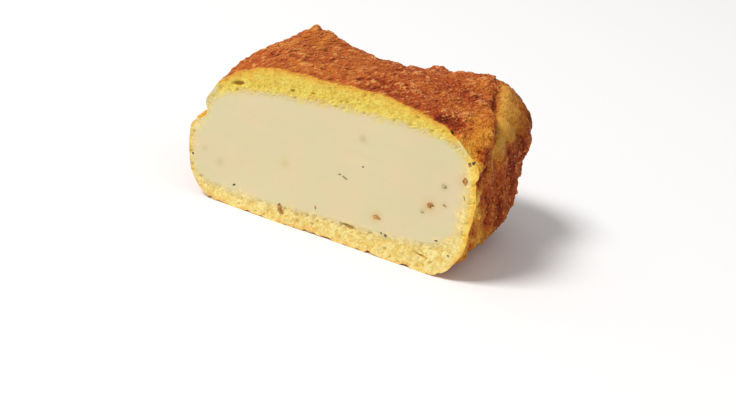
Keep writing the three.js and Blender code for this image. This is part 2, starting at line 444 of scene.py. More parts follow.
def activate(piece: bpy.types.Object) -> None:
    """Makes a piece the only selected one, and the active one.

    Args:
        piece: the piece.
    """
    bpy.ops.object.select_all(action="DESELECT")
    piece.select_set(True)
    bpy.context.view_layer.objects.active = piece


def places(piece: bpy.types.Object) -> np.ndarray:
    """The places of a mesh's vertices.

    Args:
        piece: the piece.

    Returns:
        One place for each vertex, three columns.
    """
    flat = np.empty(len(piece.data.vertices) * 3)
    piece.data.vertices.foreach_get("co", flat)
    return flat.reshape(-1, 3)


def put(piece: bpy.types.Object, points: np.ndarray) -> None:
    """Moves a mesh's vertices to new places."""
    piece.data.vertices.foreach_set("co", points.ravel())
    piece.data.update()


def facings(piece: bpy.types.Object) -> np.ndarray:
    """The normals at a mesh's vertices.

    Args:
        piece: the piece.

    Returns:
        One normal for each vertex, three columns.
    """
    flat = np.empty(len(piece.data.vertices) * 3, np.float32)
    piece.data.vertex_normals.foreach_get("vector", flat)
    return flat.reshape(-1, 3).astype(float)


def note(piece: bpy.types.Object, name: str, values: np.ndarray) -> None:
    """Writes a number for each vertex, which the finishes read by its name."""
    attribute = piece.data.attributes.new(name, "FLOAT", "POINT")
    attribute.data.foreach_set("value", values.astype(np.float32))


def noted(piece: bpy.types.Object, name: str) -> np.ndarray:
    """The numbers that a mesh carries under a name.

    Args:
        piece: the piece.
        name: the name they were written under.

    Returns:
        One number for each vertex.
    """
    values = np.empty(len(piece.data.vertices), np.float32)
    piece.data.attributes[name].data.foreach_get("value", values)
    return values


def block(name: str, low: tuple, high: tuple, cells: tuple[int, int, int], finer: int = 1
          ) -> bpy.types.Object:
    """A closed box, its faces split into cells as by hand in edit mode.

    Args:
        name: the new object's name.
        low: its lowest corner.
        high: its highest corner.
        cells: how many cells it has along each axis at first, at most 100.
        finer: into how many cells each of those is split again, each way.

    Returns:
        The box.
    """
    bpy.ops.object.select_all(action="DESELECT")
    bpy.ops.mesh.primitive_cube_add(size=1, location=(Vector(low) + Vector(high)) / 2,
                                    scale=Vector(high) - Vector(low))
    piece = bpy.context.active_object
    piece.name = name
    bpy.ops.object.transform_apply(location=True, rotation=True, scale=True)
    bpy.ops.object.mode_set(mode="EDIT")
    bpy.ops.mesh.select_mode(type="EDGE")
    for axis, count in enumerate(cells):
        if count < 2:
            continue
        bpy.ops.mesh.select_all(action="DESELECT")
        shape = bmesh.from_edit_mesh(piece.data)
        for edge in shape.edges:
            run = edge.verts[0].co - edge.verts[1].co
            edge.select = abs(run[axis]) > 0.99 * run.length
        bmesh.update_edit_mesh(piece.data)
        bpy.ops.mesh.subdivide(number_cuts=count - 1)
    if finer > 1:
        bpy.ops.mesh.select_all(action="SELECT")
        bpy.ops.mesh.subdivide(number_cuts=finer - 1)
    bpy.ops.object.mode_set(mode="OBJECT")
    return piece


def soften(piece: bpy.types.Object) -> None:
    """Shades a piece smooth, apart from its sharp edges."""
    activate(piece)
    bpy.ops.object.shade_smooth_by_angle(angle=SMOOTH_ANGLE)


def carve(piece: bpy.types.Object, tool: bpy.types.Object) -> None:
    """Takes a tool's volume away from a piece, and the tool away from the scene.

    Args:
        piece: the closed piece that is cut.
        tool: the closed piece that cuts it.
    """
    activate(piece)
    bpy.ops.object.modifier_add(type="BOOLEAN")
    cut = piece.modifiers[-1]
    cut.operation = "DIFFERENCE"
    cut.solver = "MANIFOLD"
    cut.object = tool
    bpy.ops.object.modifier_apply(modifier=cut.name)
    piece.data.materials.clear()  # the cut leaves an empty slot
    bpy.data.objects.remove(tool, do_unlink=True)


def join_flat(piece: bpy.types.Object, level: float, near: float = 1e-4) -> None:
    """Joins the faces that lie flat at a level into one, as they carry no detail.

    Args:
        piece: the piece.
        level: the level's height.
        near: how far from it a corner may lie.
    """
    activate(piece)
    bpy.ops.object.mode_set(mode="EDIT")
    bpy.ops.mesh.select_mode(type="FACE")
    bpy.ops.mesh.select_all(action="DESELECT")
    shape = bmesh.from_edit_mesh(piece.data)
    for face in shape.faces:
        face.select_set(all(abs(corner.co.z - level) < near for corner in face.verts))
    bmesh.update_edit_mesh(piece.data)
    bpy.ops.mesh.dissolve_limited(angle_limit=math.radians(1))
    bpy.ops.object.mode_set(mode="OBJECT")


def distance_to(points: np.ndarray, outline: np.ndarray, batch: int = 2000) -> np.ndarray:
    """How far each point is from the nearest point of an outline, both seen from the cut side.

    Args:
        points: the points, three columns.
        outline: points close together along the outline.
        batch: how many points are worked out at once.

    Returns:
        One distance for each point.
    """
    seen, line = points[:, [0, 2]], outline[:, [0, 2]]
    nearest = np.empty(len(seen))
    for start in range(0, len(seen), batch):
        part = seen[start:start + batch]
        away = np.linalg.norm(part[:, None] - line[None], axis=2)
        nearest[start:start + batch] = away.min(axis=1)
    return nearest


# ---- shader tools --------------------------------------------------------------------------------

Shade = tuple[int, int, int]


def paint(shade: Shade) -> tuple[float, float, float, float]:
    """A screen's colour as the shader's linear light, by the standard curve of screens.

    Args:
        shade: red, green and blue, each from 0 to 255.

    Returns:
        Red, green, blue and full cover, each from 0 to 1.
    """
    steps = [value / 255 for value in shade]
    light = [s / 12.92 if s <= 0.04045 else ((s + 0.055) / 1.055) ** 2.4 for s in steps]
    return light[0], light[1], light[2], 1.0


class Wire:
    """A shader socket with Python's arithmetic: an expression adds the Math nodes it needs."""

    def __init__(self, board: "Board", socket: bpy.types.NodeSocket) -> None:
        """Wraps a socket of a board's nodes."""
        self.board = board
        self.socket = socket

    def _math(self, operation: str, first: "Value", second: "Value") -> "Wire":
        """The result of a Math node on two values."""
        return self.board.add("ShaderNodeMath", {"operation": operation}, {0: first, 1: second})

    def __add__(self, other: "Value") -> "Wire":
        """This plus the other."""
        return self._math("ADD", self, other)

    def __radd__(self, other: "Value") -> "Wire":
        """The other plus this."""
        return self._math("ADD", other, self)

    def __sub__(self, other: "Value") -> "Wire":
        """This less the other."""
        return self._math("SUBTRACT", self, other)

    def __rsub__(self, other: "Value") -> "Wire":
        """The other less this."""
        return self._math("SUBTRACT", other, self)

    def __mul__(self, other: "Value") -> "Wire":
        """This times the other."""
        return self._math("MULTIPLY", self, other)

    def __rmul__(self, other: "Value") -> "Wire":
        """The other times this."""
        return self._math("MULTIPLY", other, self)

    def smooth(self, low: float, high: float) -> "Wire":
        """0 up to low, 1 from high, and an even curve between."""
        inputs = {"Value": self, "From Min": low, "From Max": high}
        return self.board.add("ShaderNodeMapRange", {"interpolation_type": "SMOOTHSTEP"}, inputs)

    def faded(self, fade: Fade) -> "Wire":
        """The share that a fade gives for this."""
        return self.smooth(fade.start, fade.end)


Value = Union[Wire, float]


class Board:
    """A material's node tree with one surface shader."""

    def __init__(self, name: str) -> None:
        """Starts a material.

        Args:
            name: the material's name.
        """
        self.material = bpy.data.materials.new(name)
        self.material.use_nodes = True
        self.tree = self.material.node_tree
        self.surface = self.tree.nodes["Principled BSDF"]

    def add(self, kind: str, settings: dict[str, Any], inputs: dict[Any, Any], output: Any = 0
            ) -> Wire:
        """Adds a node.

        Args:
            kind: the node's type.
            settings: what is set on the node first; stops is a ramp's places and colours.
            inputs: the value or wire of each socket, by name or number.
            output: the name or number of the output.

        Returns:
            The output as a wire.
        """
        node = self.tree.nodes.new(kind)
        for name, value in settings.items():
            if name == "stops":
                self._set_stops(node.color_ramp, value)
            else:
                setattr(node, name, value)
        for name, value in inputs.items():
            self.feed(node.inputs[name], value)
        return Wire(self, node.outputs[output])

    def _set_stops(self, ramp: bpy.types.ColorRamp, stops: tuple) -> None:
        """Gives a ramp its places and colours.

        Args:
            ramp: a ramp as it is when new.
            stops: pairs of a place from 0 to 1 and a shade, in order.
        """
        while len(ramp.elements) < len(stops):
            ramp.elements.new(1.0)
        for element, (place, shade) in zip(ramp.elements, stops):
            element.position = place
            element.color = paint(shade)

    def feed(self, socket: bpy.types.NodeSocket, value: Any) -> None:
        """Sets a socket to a value, or links it to a wire.

        Args:
            socket: a node's input.
            value: the wire, or what the socket is set to.
        """
        if isinstance(value, Wire):
            self.tree.links.new(value.socket, socket)
        else:
            socket.default_value = value

    def object_place(self) -> Wire:
        """The place on the piece, in metres."""
        return self.add("ShaderNodeTexCoord", {}, {}, "Object")

    def axes(self, place: Wire) -> tuple[Wire, Wire, Wire]:
        """The three numbers of a place.

        Args:
            place: the place, in metres.

        Returns:
            Its X, Y and Z, in millimetres.
        """
        scaled = self.add("ShaderNodeVectorMath", {"operation": "SCALE"}, {0: place, "Scale": 1 / MM})
        split = self.add("ShaderNodeSeparateXYZ", {}, {0: scaled})
        outputs = split.socket.node.outputs
        return Wire(self, outputs[0]), Wire(self, outputs[1]), Wire(self, outputs[2])

    def stretched(self, place: Wire, turn: tuple, stretch: tuple) -> Wire:
        """The place in turned axes, drawn out along them.

        Args:
            place: the place.
            turn: the turn about each axis, in degrees.
            stretch: how far a pattern is drawn out along each turned axis.

        Returns:
            The place that a pattern reads.
        """
        angles = tuple(math.radians(angle) for angle in turn)
        return self.add("ShaderNodeMapping", {"vector_type": "TEXTURE"},
                        {"Vector": place, "Rotation": angles, "Scale": stretch})

    def warped(self, place: Wire, size: float, reach: float) -> Wire:
        """The place moved about in swirls.

        Args:
            place: the place.
            size: how far across a swirl is, in millimetres.
            reach: twice as far as the place moves at most, in millimetres.

        Returns:
            The place that a pattern reads.
        """
        swirl = self.add("ShaderNodeTexNoise", {}, {"Vector": place, "Scale": 1 / (size * MM)}, 1)
        return self.add("ShaderNodeVectorMath", {"operation": "MULTIPLY_ADD"},
                        {0: swirl, 1: (reach * MM,) * 3, 2: place})

    def noise(self, place: Wire, size: float, detail: float = 2.0, roughness: float = 0.5) -> Wire:
        """Cloudy noise round 0.5, with patches of a size in millimetres."""
        inputs = {"Vector": place, "Scale": 1 / (size * MM), "Detail": detail, "Roughness": roughness}
        return self.add("ShaderNodeTexNoise", {}, inputs)

    def noted(self, name: str) -> Wire:
        """A number that the mesh carries at its vertices."""
        return self.add("ShaderNodeAttribute", {"attribute_name": name}, {}, "Fac")

    def ramp(self, factor: Wire, *stops: tuple[float, Shade]) -> Wire:
        """A colour picked along a ramp."""
        return self.add("ShaderNodeValToRGB", {"stops": stops}, {"Fac": factor})

    def mix(self, factor: Value, first: Any, second: Any, blend: str = "MIX") -> Wire:
        """Two colours mixed by a factor."""
        settings = {"data_type": "RGBA", "blend_type": blend}
        return self.add("ShaderNodeMix", settings, {0: factor, 6: first, 7: second}, 2)

    def mix_number(self, factor: Value, first: Value, second: Value) -> Wire:
        """Two numbers mixed by a factor."""
        return self.add("ShaderNodeMix", {"data_type": "FLOAT"}, {0: factor, 2: first, 3: second})

    def bump(self, height: Wire, depth: float, strength: float = 1.0) -> Wire:
        """A surface normal for a height from 0 to 1, of a depth in millimetres."""
        return self.add("ShaderNodeBump", {},
                        {"Height": height, "Distance": depth * MM, "Strength": strength})

    def finish(self, colour: Wire, roughness: Value, normal: Wire, **constants: float
               ) -> bpy.types.Material:
        """Feeds the surface.

        Args:
            colour: the base colour.
            roughness: the roughness, a wire or one number.
            normal: the bumped normal.
            constants: other sockets that are the same all over, with _ for a space in the name.

        Returns:
            The material.
        """
        self.feed(self.surface.inputs["Base Color"], colour)
        self.feed(self.surface.inputs["Roughness"], roughness)
        self.feed(self.surface.inputs["Normal"], normal)
        for name, value in constants.items():
            self.surface.inputs[name.replace("_", " ")].default_value = value
        return self.material


# ---- finishes ------------------------------------------------------------------------------------

class Noted(Enum):
    """Numbers that the meshes carry for the finishes."""

    BROWNING = "browning"  # of the skin, 0 yellow to 1 red-brown, and more where it scorched; partly painted shade on the lobe's back and in the end furrows
    HEIGHT = "height"  # of the fine relief, about -1 to 1
    END = "end"  # how far the skin faces along X, where its fibres run down
    CORE = "core"  # distance outside the filling's outline on the cut, negative in the filling
    RIM = "rim"  # distance from the cut's outer outline
    PORE = "pore"  # depth of the crumb's pores and of the skin's pits, 0 to 1, by which shade is painted into them
    CRUMB = "crumb"  # the crumb's lumps, 0 in the creases between them to 1
    CALM = "calm"  # how smooth the skin stayed, 0 to 1
    STAIN = "stain"  # strength of the fried onion's colour in the mash
    SHADOW = "shadow"  # strength of the grey specks in the mash


@dataclass(frozen=True)
class FriedSkin:
    """The fried outside: red-brown streaks and grains on top, golden where it fried less; painted
    highlights on tips, painted shade in creases and pits.
    """

    yellow: Shade = (250, 208, 80)
    golden: Shade = (228, 152, 50)
    tan: Shade = (208, 118, 44)
    fried: Shade = (194, 97, 40)
    red_brown: Shade = (170, 68, 28)
    scorched: Shade = (104, 30, 14)
    # painted highlight colours of the raised tips, on fried and on paler skin
    tip_highlight: Shade = (238, 165, 96)
    pale_tip_highlight: Shade = (250, 216, 112)
    # painted shade of the creases
    crease_shade: Shade = (108, 40, 12)
    # near-black painted shade in the skin's pits
    hole: Shade = (30, 12, 6)
    end_tint: Shade = (246, 236, 200)
    calm_pale: Shade = (214, 162, 74)
    calm_brown: Shade = (176, 114, 48)
    calm_dark: Shade = (106, 48, 18)
    top_fibre: float = 72.0  # turn of the streaks from +X towards +Y, on the top
    end_fibre: float = 34.0  # and from -Z towards +Y, on the ends
    swirl_size: float = 5.0
    swirl_reach: float = 1.6
    streak_size: float = 0.75
    streak_length: float = 5.0  # how many times longer than wide
    grain_size: float = 0.6
    patch_size: float = 3.0
    crumbly: Fade = Fade(-14, 22)  # along X, from a streaked skin to a grained one
    streak_height: float = 4.2  # of the relief, at the left
    grain_height: float = 1.2
    crumbly_shift: float = 1.8  # what the streaks lose and the grains gain to the right
    calming: float = 0.35  # what the relief loses where the skin stayed smooth
    fried_skin: Fade = Fade(0.1, 0.55)  # browning over which the colours become uneven
    patchy: float = 0.9
    # painted light by the relief: tips are made less browned, creases more
    relief_shading: float = 0.16
    highlight_and_shade_heights: Fade = Fade(0.2, 1.1)  # heights over which tips get a painted highlight, and creases painted shade
    highlight_cover: float = 0.75
    crease_shade_cover: float = 0.8
    calm_cover: float = 0.7
    bump_depth: float = 1.2
    roughness: float = 0.6
    shine: float = 0.1

    def material(self) -> bpy.types.Material:
        """Makes the material.

        Returns:
            The material.
        """
        board = Board("fried_skin")
        place = board.object_place()
        bent = board.warped(place, self.swirl_size, self.swirl_reach)
        streaks = self._streaks(board, bent)
        grain = board.noise(place, self.grain_size)
        patches = board.noise(bent, self.patch_size, 3.0, 0.6)
        crumbly = board.axes(place)[0].faded(self.crumbly) * self.crumbly_shift
        rough = 1 - board.noted(Noted.CALM.value) * self.calming
        relief = (board.noted(Noted.HEIGHT.value) * 0.5
                  + (streaks - 0.5) * (self.streak_height - crumbly) * rough
                  + (grain - 0.5) * (self.grain_height + crumbly) * rough)
        bumps = (streaks * 0.9 + grain * 0.6) * rough
        return board.finish(self._colour(board, patches, relief), self.roughness,
                            board.bump(bumps, self.bump_depth), Specular_IOR_Level=self.shine)

    def _streaks(self, board: Board, place: Wire) -> Wire:
        """Noise drawn out into streaks, which run back over the top and down the ends.

        Args:
            board: the material's nodes.
            place: the place that the noise reads.

        Returns:
            The noise, round 0.5.
        """
        long = self.streak_length
        on_top = board.stretched(place, (0, 0, self.top_fibre), (long, 1.0, 1.0))
        on_end = board.stretched(place, (self.end_fibre, 0, 0), (1.0, 1.0, long))
        return board.mix_number(board.noted(Noted.END.value), board.noise(on_top, self.streak_size),
                                board.noise(on_end, self.streak_size))

    def _colour(self, board: Board, patches: Wire, relief: Wire) -> Wire:
        """The skin's colour, with painted highlights on the raised tips and painted shade in the creases
        and pits.

        Args:
            board: the material's nodes.
            patches: coarse noise round 0.5.
            relief: height of the streaks and grains, about -1 to 1.

        Returns:
            The colour.
        """
        browned = board.noted(Noted.BROWNING.value)
        fried = browned.faded(self.fried_skin)
        # the relief's tips are made paler and its creases browner: painted light and shade
        uneven = (patches - 0.5) * self.patchy - relief * self.relief_shading
        browning = (browned + uneven * (0.3 + fried * 0.7)) * 0.7
        colour = board.ramp(browning, (0.0, self.yellow), (0.18, self.golden), (0.32, self.tan),
                            (0.46, self.fried), (0.64, self.red_brown), (0.9, self.scorched))
        calm = board.ramp(browning, (0.2, self.calm_pale), (0.45, self.calm_brown),
                          (0.78, self.calm_dark))
        colour = board.mix(board.noted(Noted.CALM.value) * self.calm_cover, colour, calm)
        # painted highlight on the raised tips of the relief
        tip_highlight = board.mix(fried, paint(self.pale_tip_highlight), paint(self.tip_highlight))
        colour = board.mix(relief.faded(self.highlight_and_shade_heights) * self.highlight_cover, colour, tip_highlight)
        # painted shade in the creases of the relief, where the skin is fried
        creases = (0 - relief).faded(self.highlight_and_shade_heights) * self.crease_shade_cover * fried
        colour = board.mix(creases, colour, paint(self.crease_shade))
        # near-black painted shade in the pits, by their depth
        hole_shade = board.noted(Noted.PORE.value).smooth(0.25, 0.8)
        colour = board.mix(hole_shade, colour, paint(self.hole))
        ends = board.noted(Noted.END.value) * fried
        return board.mix(ends, colour, paint(self.end_tint), "MULTIPLY")


@dataclass(frozen=True)
class CutWires:
    """What the colours of the cut are worked out from."""

    place: Wire
    left: Wire  # 1 at the left end under its seam, where the edge is as brown as on top
    right: Wire  # 1 at the right end, where the dough is thin and smooth
    upper: Wire  # 1 in the upper part, 0 in the lower
    fine: Wire  # fine noise round 0.5
    blots: Wire  # coarser noise


@dataclass(frozen=True)
class CutFace:
    """The knife's face: smooth cream mash in the middle, and porous yellow crumb round it."""

    mash: Shade = (215, 201, 160)
    mash_warm: Shade = (219, 197, 157)
    mash_cool: Shade = (210, 201, 156)
    crumb_top: Shade = (236, 215, 100)
    crumb_top_deep: Shade = (218, 180, 62)
    # painted shade in the upper crumb's pores
    crumb_top_pore_shade: Shade = (180, 134, 44)
    crumb_low: Shade = (244, 226, 152)
    crumb_low_deep: Shade = (228, 192, 94)
    # painted shade in the lower crumb's pores
    crumb_low_pore_shade: Shade = (212, 164, 74)
    # painted highlight on the crumb's raised lumps
    crumb_highlight: Shade = (250, 236, 166)
    crumb_speck: Shade = (210, 158, 68)
    rim_top: Shade = (234, 186, 66)
    rim_low: Shade = (242, 214, 130)
    rim_right: Shade = (244, 210, 96)
    edge_top: Shade = (228, 164, 56)
    edge_low: Shade = (230, 184, 98)
    edge_right: Shade = (236, 182, 70)
    onion_stain: Shade = (206, 168, 106)
    grey_stain: Shade = (164, 152, 114)
    fine_size: float = 0.6
    blot_size: float = 2.2
    cloud_size: float = 9.0
    speck_size: float = 1.3
    upper_from: Fade = Fade(20, 33)  # heights
    right_end: Fade = Fade(27, 36)  # along X
    right_low: Fade = Fade(4, 12)  # and heights
    right_high: Fade = Fade(30, 38)
    left_end: Fade = Fade(32, 37)  # along -X
    left_low: Fade = Fade(18, 23)
    joint: Fade = Fade(-1.0, 2.2)  # distances from the mash over which it turns to crumb
    rim_width: Fade = Fade(0.0, 2.8)
    edge_width: Fade = Fade(-0.4, 1.0)
    crumb_tone: Fade = Fade(0.5, 0.82)
    specks: Fade = Fade(0.63, 0.72)
    # heights of the lumps over which their painted highlight sets in
    lump_highlights: Fade = Fade(0.75, 1.2)
    # depths over which the pores take their painted shade
    hole_shade: Fade = Fade(0.25, 1.0)
    bump_depth: float = 0.5
    roughness: float = 0.6
    shine: float = 0.3

    def material(self) -> bpy.types.Material:
        """Makes the material.

        Returns:
            The material.
        """
        board = Board("cut_face")
        at = self._read(board)
        core = board.noted(Noted.CORE.value)
        # At the right the mash passes into the thin dough with hardly a change.
        grown = (core + at.right * 2.2) * (1 - at.right * 0.45)
        ragged = grown + (at.blots - 0.5) * 3.6 + (at.fine - 0.5) * 1.6
        colour = board.mix(ragged.faded(self.joint), self._mash(board, at), self._crumb(board, at))
        bumps = (at.fine - 0.5) * (0.1 + core.smooth(-0.4, 0.6) * 0.9)
        return board.finish(self._rim(board, at, colour), self.roughness,
                            board.bump(bumps, self.bump_depth), Specular_IOR_Level=self.shine)

    def _read(self, board: Board) -> CutWires:
        """Reads where on the cut a point lies, and the noise there.

        Args:
            board: the material's nodes.

        Returns:
            The wires.
        """
        place = board.object_place()
        across, _, up = board.axes(place)
        fine = board.noise(place, self.fine_size, 3.0, 0.6)
        blots = board.noise(place, self.blot_size)
        right = (across.faded(self.right_end) * up.faded(self.right_low)
                 * (1 - up.faded(self.right_high)))
        left = (0 - across).faded(self.left_end) * up.faded(self.left_low)
        upper = (up + (blots - 0.5) * 8.0).faded(self.upper_from)
        return CutWires(place, left, right, upper, fine, blots)

    def _mash(self, board: Board, at: CutWires) -> Wire:
        """The mash's colour, faintly clouded and stained round its bits.

        Args:
            board: the material's nodes.
            at: where on the cut the point lies.

        Returns:
            The colour.
        """
        clouds = board.noise(at.place, self.cloud_size, 1.0).smooth(0.35, 0.65)
        mash = board.mix(clouds, paint(self.mash_cool), paint(self.mash_warm))
        mash = board.mix(0.5, mash, paint(self.mash))
        mash = board.mix(board.noted(Noted.STAIN.value), mash, paint(self.onion_stain))
        return board.mix(board.noted(Noted.SHADOW.value), mash, paint(self.grey_stain))

    def _crumb(self, board: Board, at: CutWires) -> Wire:
        """The crumb's colour, yellow in the upper part and paler in the lower, with painted highlights on
        its lumps and painted shade in its pores.

        Args:
            board: the material's nodes.
            at: where on the cut the point lies.

        Returns:
            The colour.
        """
        lump = board.noted(Noted.CRUMB.value)
        loose = 1 - at.right * 0.8
        upper = at.upper * (1 - at.right)
        # the lumps' height adds a little painted highlight to the tone
        tone = (at.fine * 0.7 + at.blots * 0.5 + lump * 0.2).faded(self.crumb_tone)
        high = board.mix(tone, paint(self.crumb_top_deep), paint(self.crumb_top))
        low = board.mix(tone, paint(self.crumb_low_deep), paint(self.crumb_low))
        crumb = board.mix(upper, low, high)
        specks = board.noise(at.place, self.speck_size, 1.0).faded(self.specks)
        crumb = board.mix(specks * 0.6, crumb, paint(self.crumb_speck))
        # painted highlight on the raised lumps of the crumb
        lump_highlights = (lump + (at.fine - 0.5) * 1.4).faded(self.lump_highlights) * loose
        crumb = board.mix(lump_highlights * 0.45, crumb, paint(self.crumb_highlight))
        # painted shade in the crumb's pores, darker where they are deeper
        pore = board.mix(upper, paint(self.crumb_low_pore_shade), paint(self.crumb_top_pore_shade))
        hole_shade = (board.noted(Noted.PORE.value) + (at.fine - 0.5)).faded(self.hole_shade)
        return board.mix(hole_shade * loose, crumb, pore)

    def _rim(self, board: Board, at: CutWires, colour: Wire) -> Wire:
        """The cut's colour with its golden rim and browner edge.

        Args:
            board: the material's nodes.
            at: where on the cut the point lies.
            colour: the colour of mash and crumb.

        Returns:
            The colour.
        """
        rim = board.noted(Noted.RIM.value) + (at.blots - 0.5) * 1.8 + (at.fine - 0.5) * 1.6
        browner = at.upper + at.left * (1 - at.upper)
        rim_colour = board.mix(browner, paint(self.rim_low), paint(self.rim_top))
        rim_colour = board.mix(at.right, rim_colour, paint(self.rim_right))
        edge_colour = board.mix(browner, paint(self.edge_low), paint(self.edge_top))
        edge_colour = board.mix(at.right, edge_colour, paint(self.edge_right))
        wide = rim * (1.8 - at.upper * 0.8 - at.right * 0.9)
        colour = board.mix(wide.faded(self.rim_width), rim_colour, colour)
        ragged = rim + (at.blots - 0.5) * 2.4 - at.right * 0.5
        return board.mix(ragged.faded(self.edge_width), edge_colour, colour)


@dataclass(frozen=True)
class Speckled:
    """A small bit's finish: two shades in fine patches."""

    name: str
    dark: Shade
    light: Shade
    patch: float = 0.5
    bump_depth: float = 0.1
    roughness: float = 0.5

    def material(self) -> bpy.types.Material:
        """Makes the material.

        Returns:
            The material.
        """
        board = Board(self.name)
        place = board.object_place()
        patches = board.noise(place, self.patch, 2.0, 0.6)
        colour = board.mix(patches.smooth(0.35, 0.65), paint(self.dark), paint(self.light))
        return board.finish(colour, self.roughness, board.bump(patches, self.bump_depth))


@dataclass(frozen=True)
class PlainFloor:
    """The pale surface under the half."""

    shade: Shade = (250, 249, 248)
    lighter: Shade = (252, 251, 250)
    patch: float = 300.0
    bump_depth: float = 0.01
    roughness: float = 0.7

    def material(self) -> bpy.types.Material:
        """Makes the material.

        Returns:
            The material.
        """
        board = Board("pale_floor")
        faint = board.noise(board.object_place(), self.patch, 1.0)
        colour = board.mix(faint, paint(self.shade), paint(self.lighter))
        return board.finish(colour, self.roughness, board.bump(faint, self.bump_depth))


# ---- pieces --------------------------------------------------------------------------------------

@dataclass(frozen=True)
class Pore:
    """An open pore or tear of the crumb at the cut."""

    x: float
    z: float
    long: float
    wide: float
    deep: float
    turn: float
    opened: float = 0.8  # share of its depth that the crumb's softness leaves
    ragged: float = 0.5
    ragged_size: float = 0.9
    frayed: float = 0.35
    frayed_size: float = 0.45

    def depth(self, p: np.ndarray) -> np.ndarray:
        """How deep the pore is.

        Args:
            p: points of the cut.

        Returns:
            One depth for each point.
        """
        c, s = math.cos(self.turn), math.sin(self.turn)
        dx, dz = p[:, 0] - self.x, p[:, 2] - self.z
        along, across = dx * c - dz * s, dx * s + dz * c
        flat = p * (1, 0, 1)
        grown = 1 + self.ragged * lumps(flat, self.ragged_size, 11)
        grown += self.frayed * lumps(flat, self.frayed_size, 14)
        share = ((2 * along / self.long) ** 2 + (2 * across / self.wide) ** 2) / grown
        return self.opened * self.deep * np.sqrt(np.clip(1 - share, 0, 1))


@dataclass(frozen=True)
class Pit:
    """A dark hole or slit in the skin."""

    place: Vector
    long: float  # along X
    wide: float
    deep: float

    def share(self, p: np.ndarray) -> np.ndarray:
        """How deep the pit is at each point, as a share of its depth."""
        away = (p - np.array(self.place)) * (self.wide / self.long, 1, 1)
        return bell(np.linalg.norm(away, axis=1), self.wide / 2)


@dataclass(frozen=True)
class Patch:
    """A spot of the skin that is browned more than what lies round it, or less."""

    place: Vector
    spread: float
    browning: float


@dataclass
class Knife:
    """The blade's path: a block whose back face has fine cells."""

    form: KnishForm
    cell: float = 0.42
    finer: int = 4
    reach: float = 46.0
    deep: float = 60.0
    low: float = -4.0
    high: float = 52.0

    def build(self) -> bpy.types.Object:
        """Makes the block.

        Returns:
            The block, its back face in the cut.
        """
        across = round(2 * self.reach / self.cell / self.finer)
        up = round((self.high - self.low) / self.cell / self.finer)
        piece = block("knife", (-self.reach, -self.deep, self.low), (self.reach, 0, self.high),
                      (across, 1, up), self.finer)
        p = places(piece)
        face = p[:, 1] > -self.deep / 2
        p[face, 1] += self.form.cut_level(p[face])
        put(piece, p)
        return piece


@dataclass
class CutPiece:
    """What the crust and the filling share: a cushion that the knife has cut."""

    form: KnishForm
    near: float = 0.02  # how far from the knife's face a face of the cut may lie
    ahead: float = 0.08  # how far the uncut body reaches before the cut, as a share of its depth

    def body(self, name: str, lobe: Lobe, cell: float, finer: int = 1, spare: float = 0.0
             ) -> bpy.types.Object:
        """A closed cushion that reaches a little before the cut.

        Args:
            name: the new object's name.
            lobe: its reach in each direction.
            cell: the size of its cells.
            finer: into how many of them, each way, a coarse cell is split.
            spare: what is added to its height to count the cells.

        Returns:
            The cushion.
        """
        tall = self.form.height - lobe.roof - lobe.floor + spare
        cells = tuple(round(size / (cell * finer)) for size in (lobe.left + lobe.right, lobe.back, tall))
        piece = block(name, (-1, -self.ahead, -1), (1, 1, 1), cells, finer)
        put(piece, self.form.cushion(lobe, places(piece)))
        return piece

    def cut_faces(self, piece: bpy.types.Object) -> np.ndarray:
        """Finds the faces that the knife made.

        Args:
            piece: the piece.

        Returns:
            For each face, whether it is one of them.
        """
        count = len(piece.data.polygons)
        centres, normals = np.empty(count * 3, np.float32), np.empty(count * 3, np.float32)
        piece.data.polygons.foreach_get("center", centres)
        piece.data.polygons.foreach_get("normal", normals)
        middle, normal = centres.reshape(-1, 3).astype(float), normals.reshape(-1, 3)
        level = self.form.cut_level(middle)
        return (np.abs(middle[:, 1] - level) < self.near) & (normal[:, 1] < -0.9)

    def members(self, piece: bpy.types.Object, faces: np.ndarray) -> np.ndarray:
        """Finds the vertices of chosen faces.

        Args:
            piece: the piece.
            faces: for each face, whether it is chosen.

        Returns:
            For each vertex, whether it belongs to any of them.
        """
        corners = np.empty(len(piece.data.loops), np.int32)
        piece.data.loops.foreach_get("vertex_index", corners)
        totals = np.empty(len(piece.data.polygons), np.int32)
        piece.data.polygons.foreach_get("loop_total", totals)
        chosen = np.zeros(len(piece.data.vertices), bool)
        chosen[corners[np.repeat(faces, totals)]] = True
        return chosen

    def place_in_frame(self, piece: bpy.types.Object) -> None:
        """Moves a piece from the form's millimetres to the frame's metres."""
        shift = np.array((self.form.middle_x, self.form.middle_y, 0))
        put(piece, (places(piece) - shift) * MM)


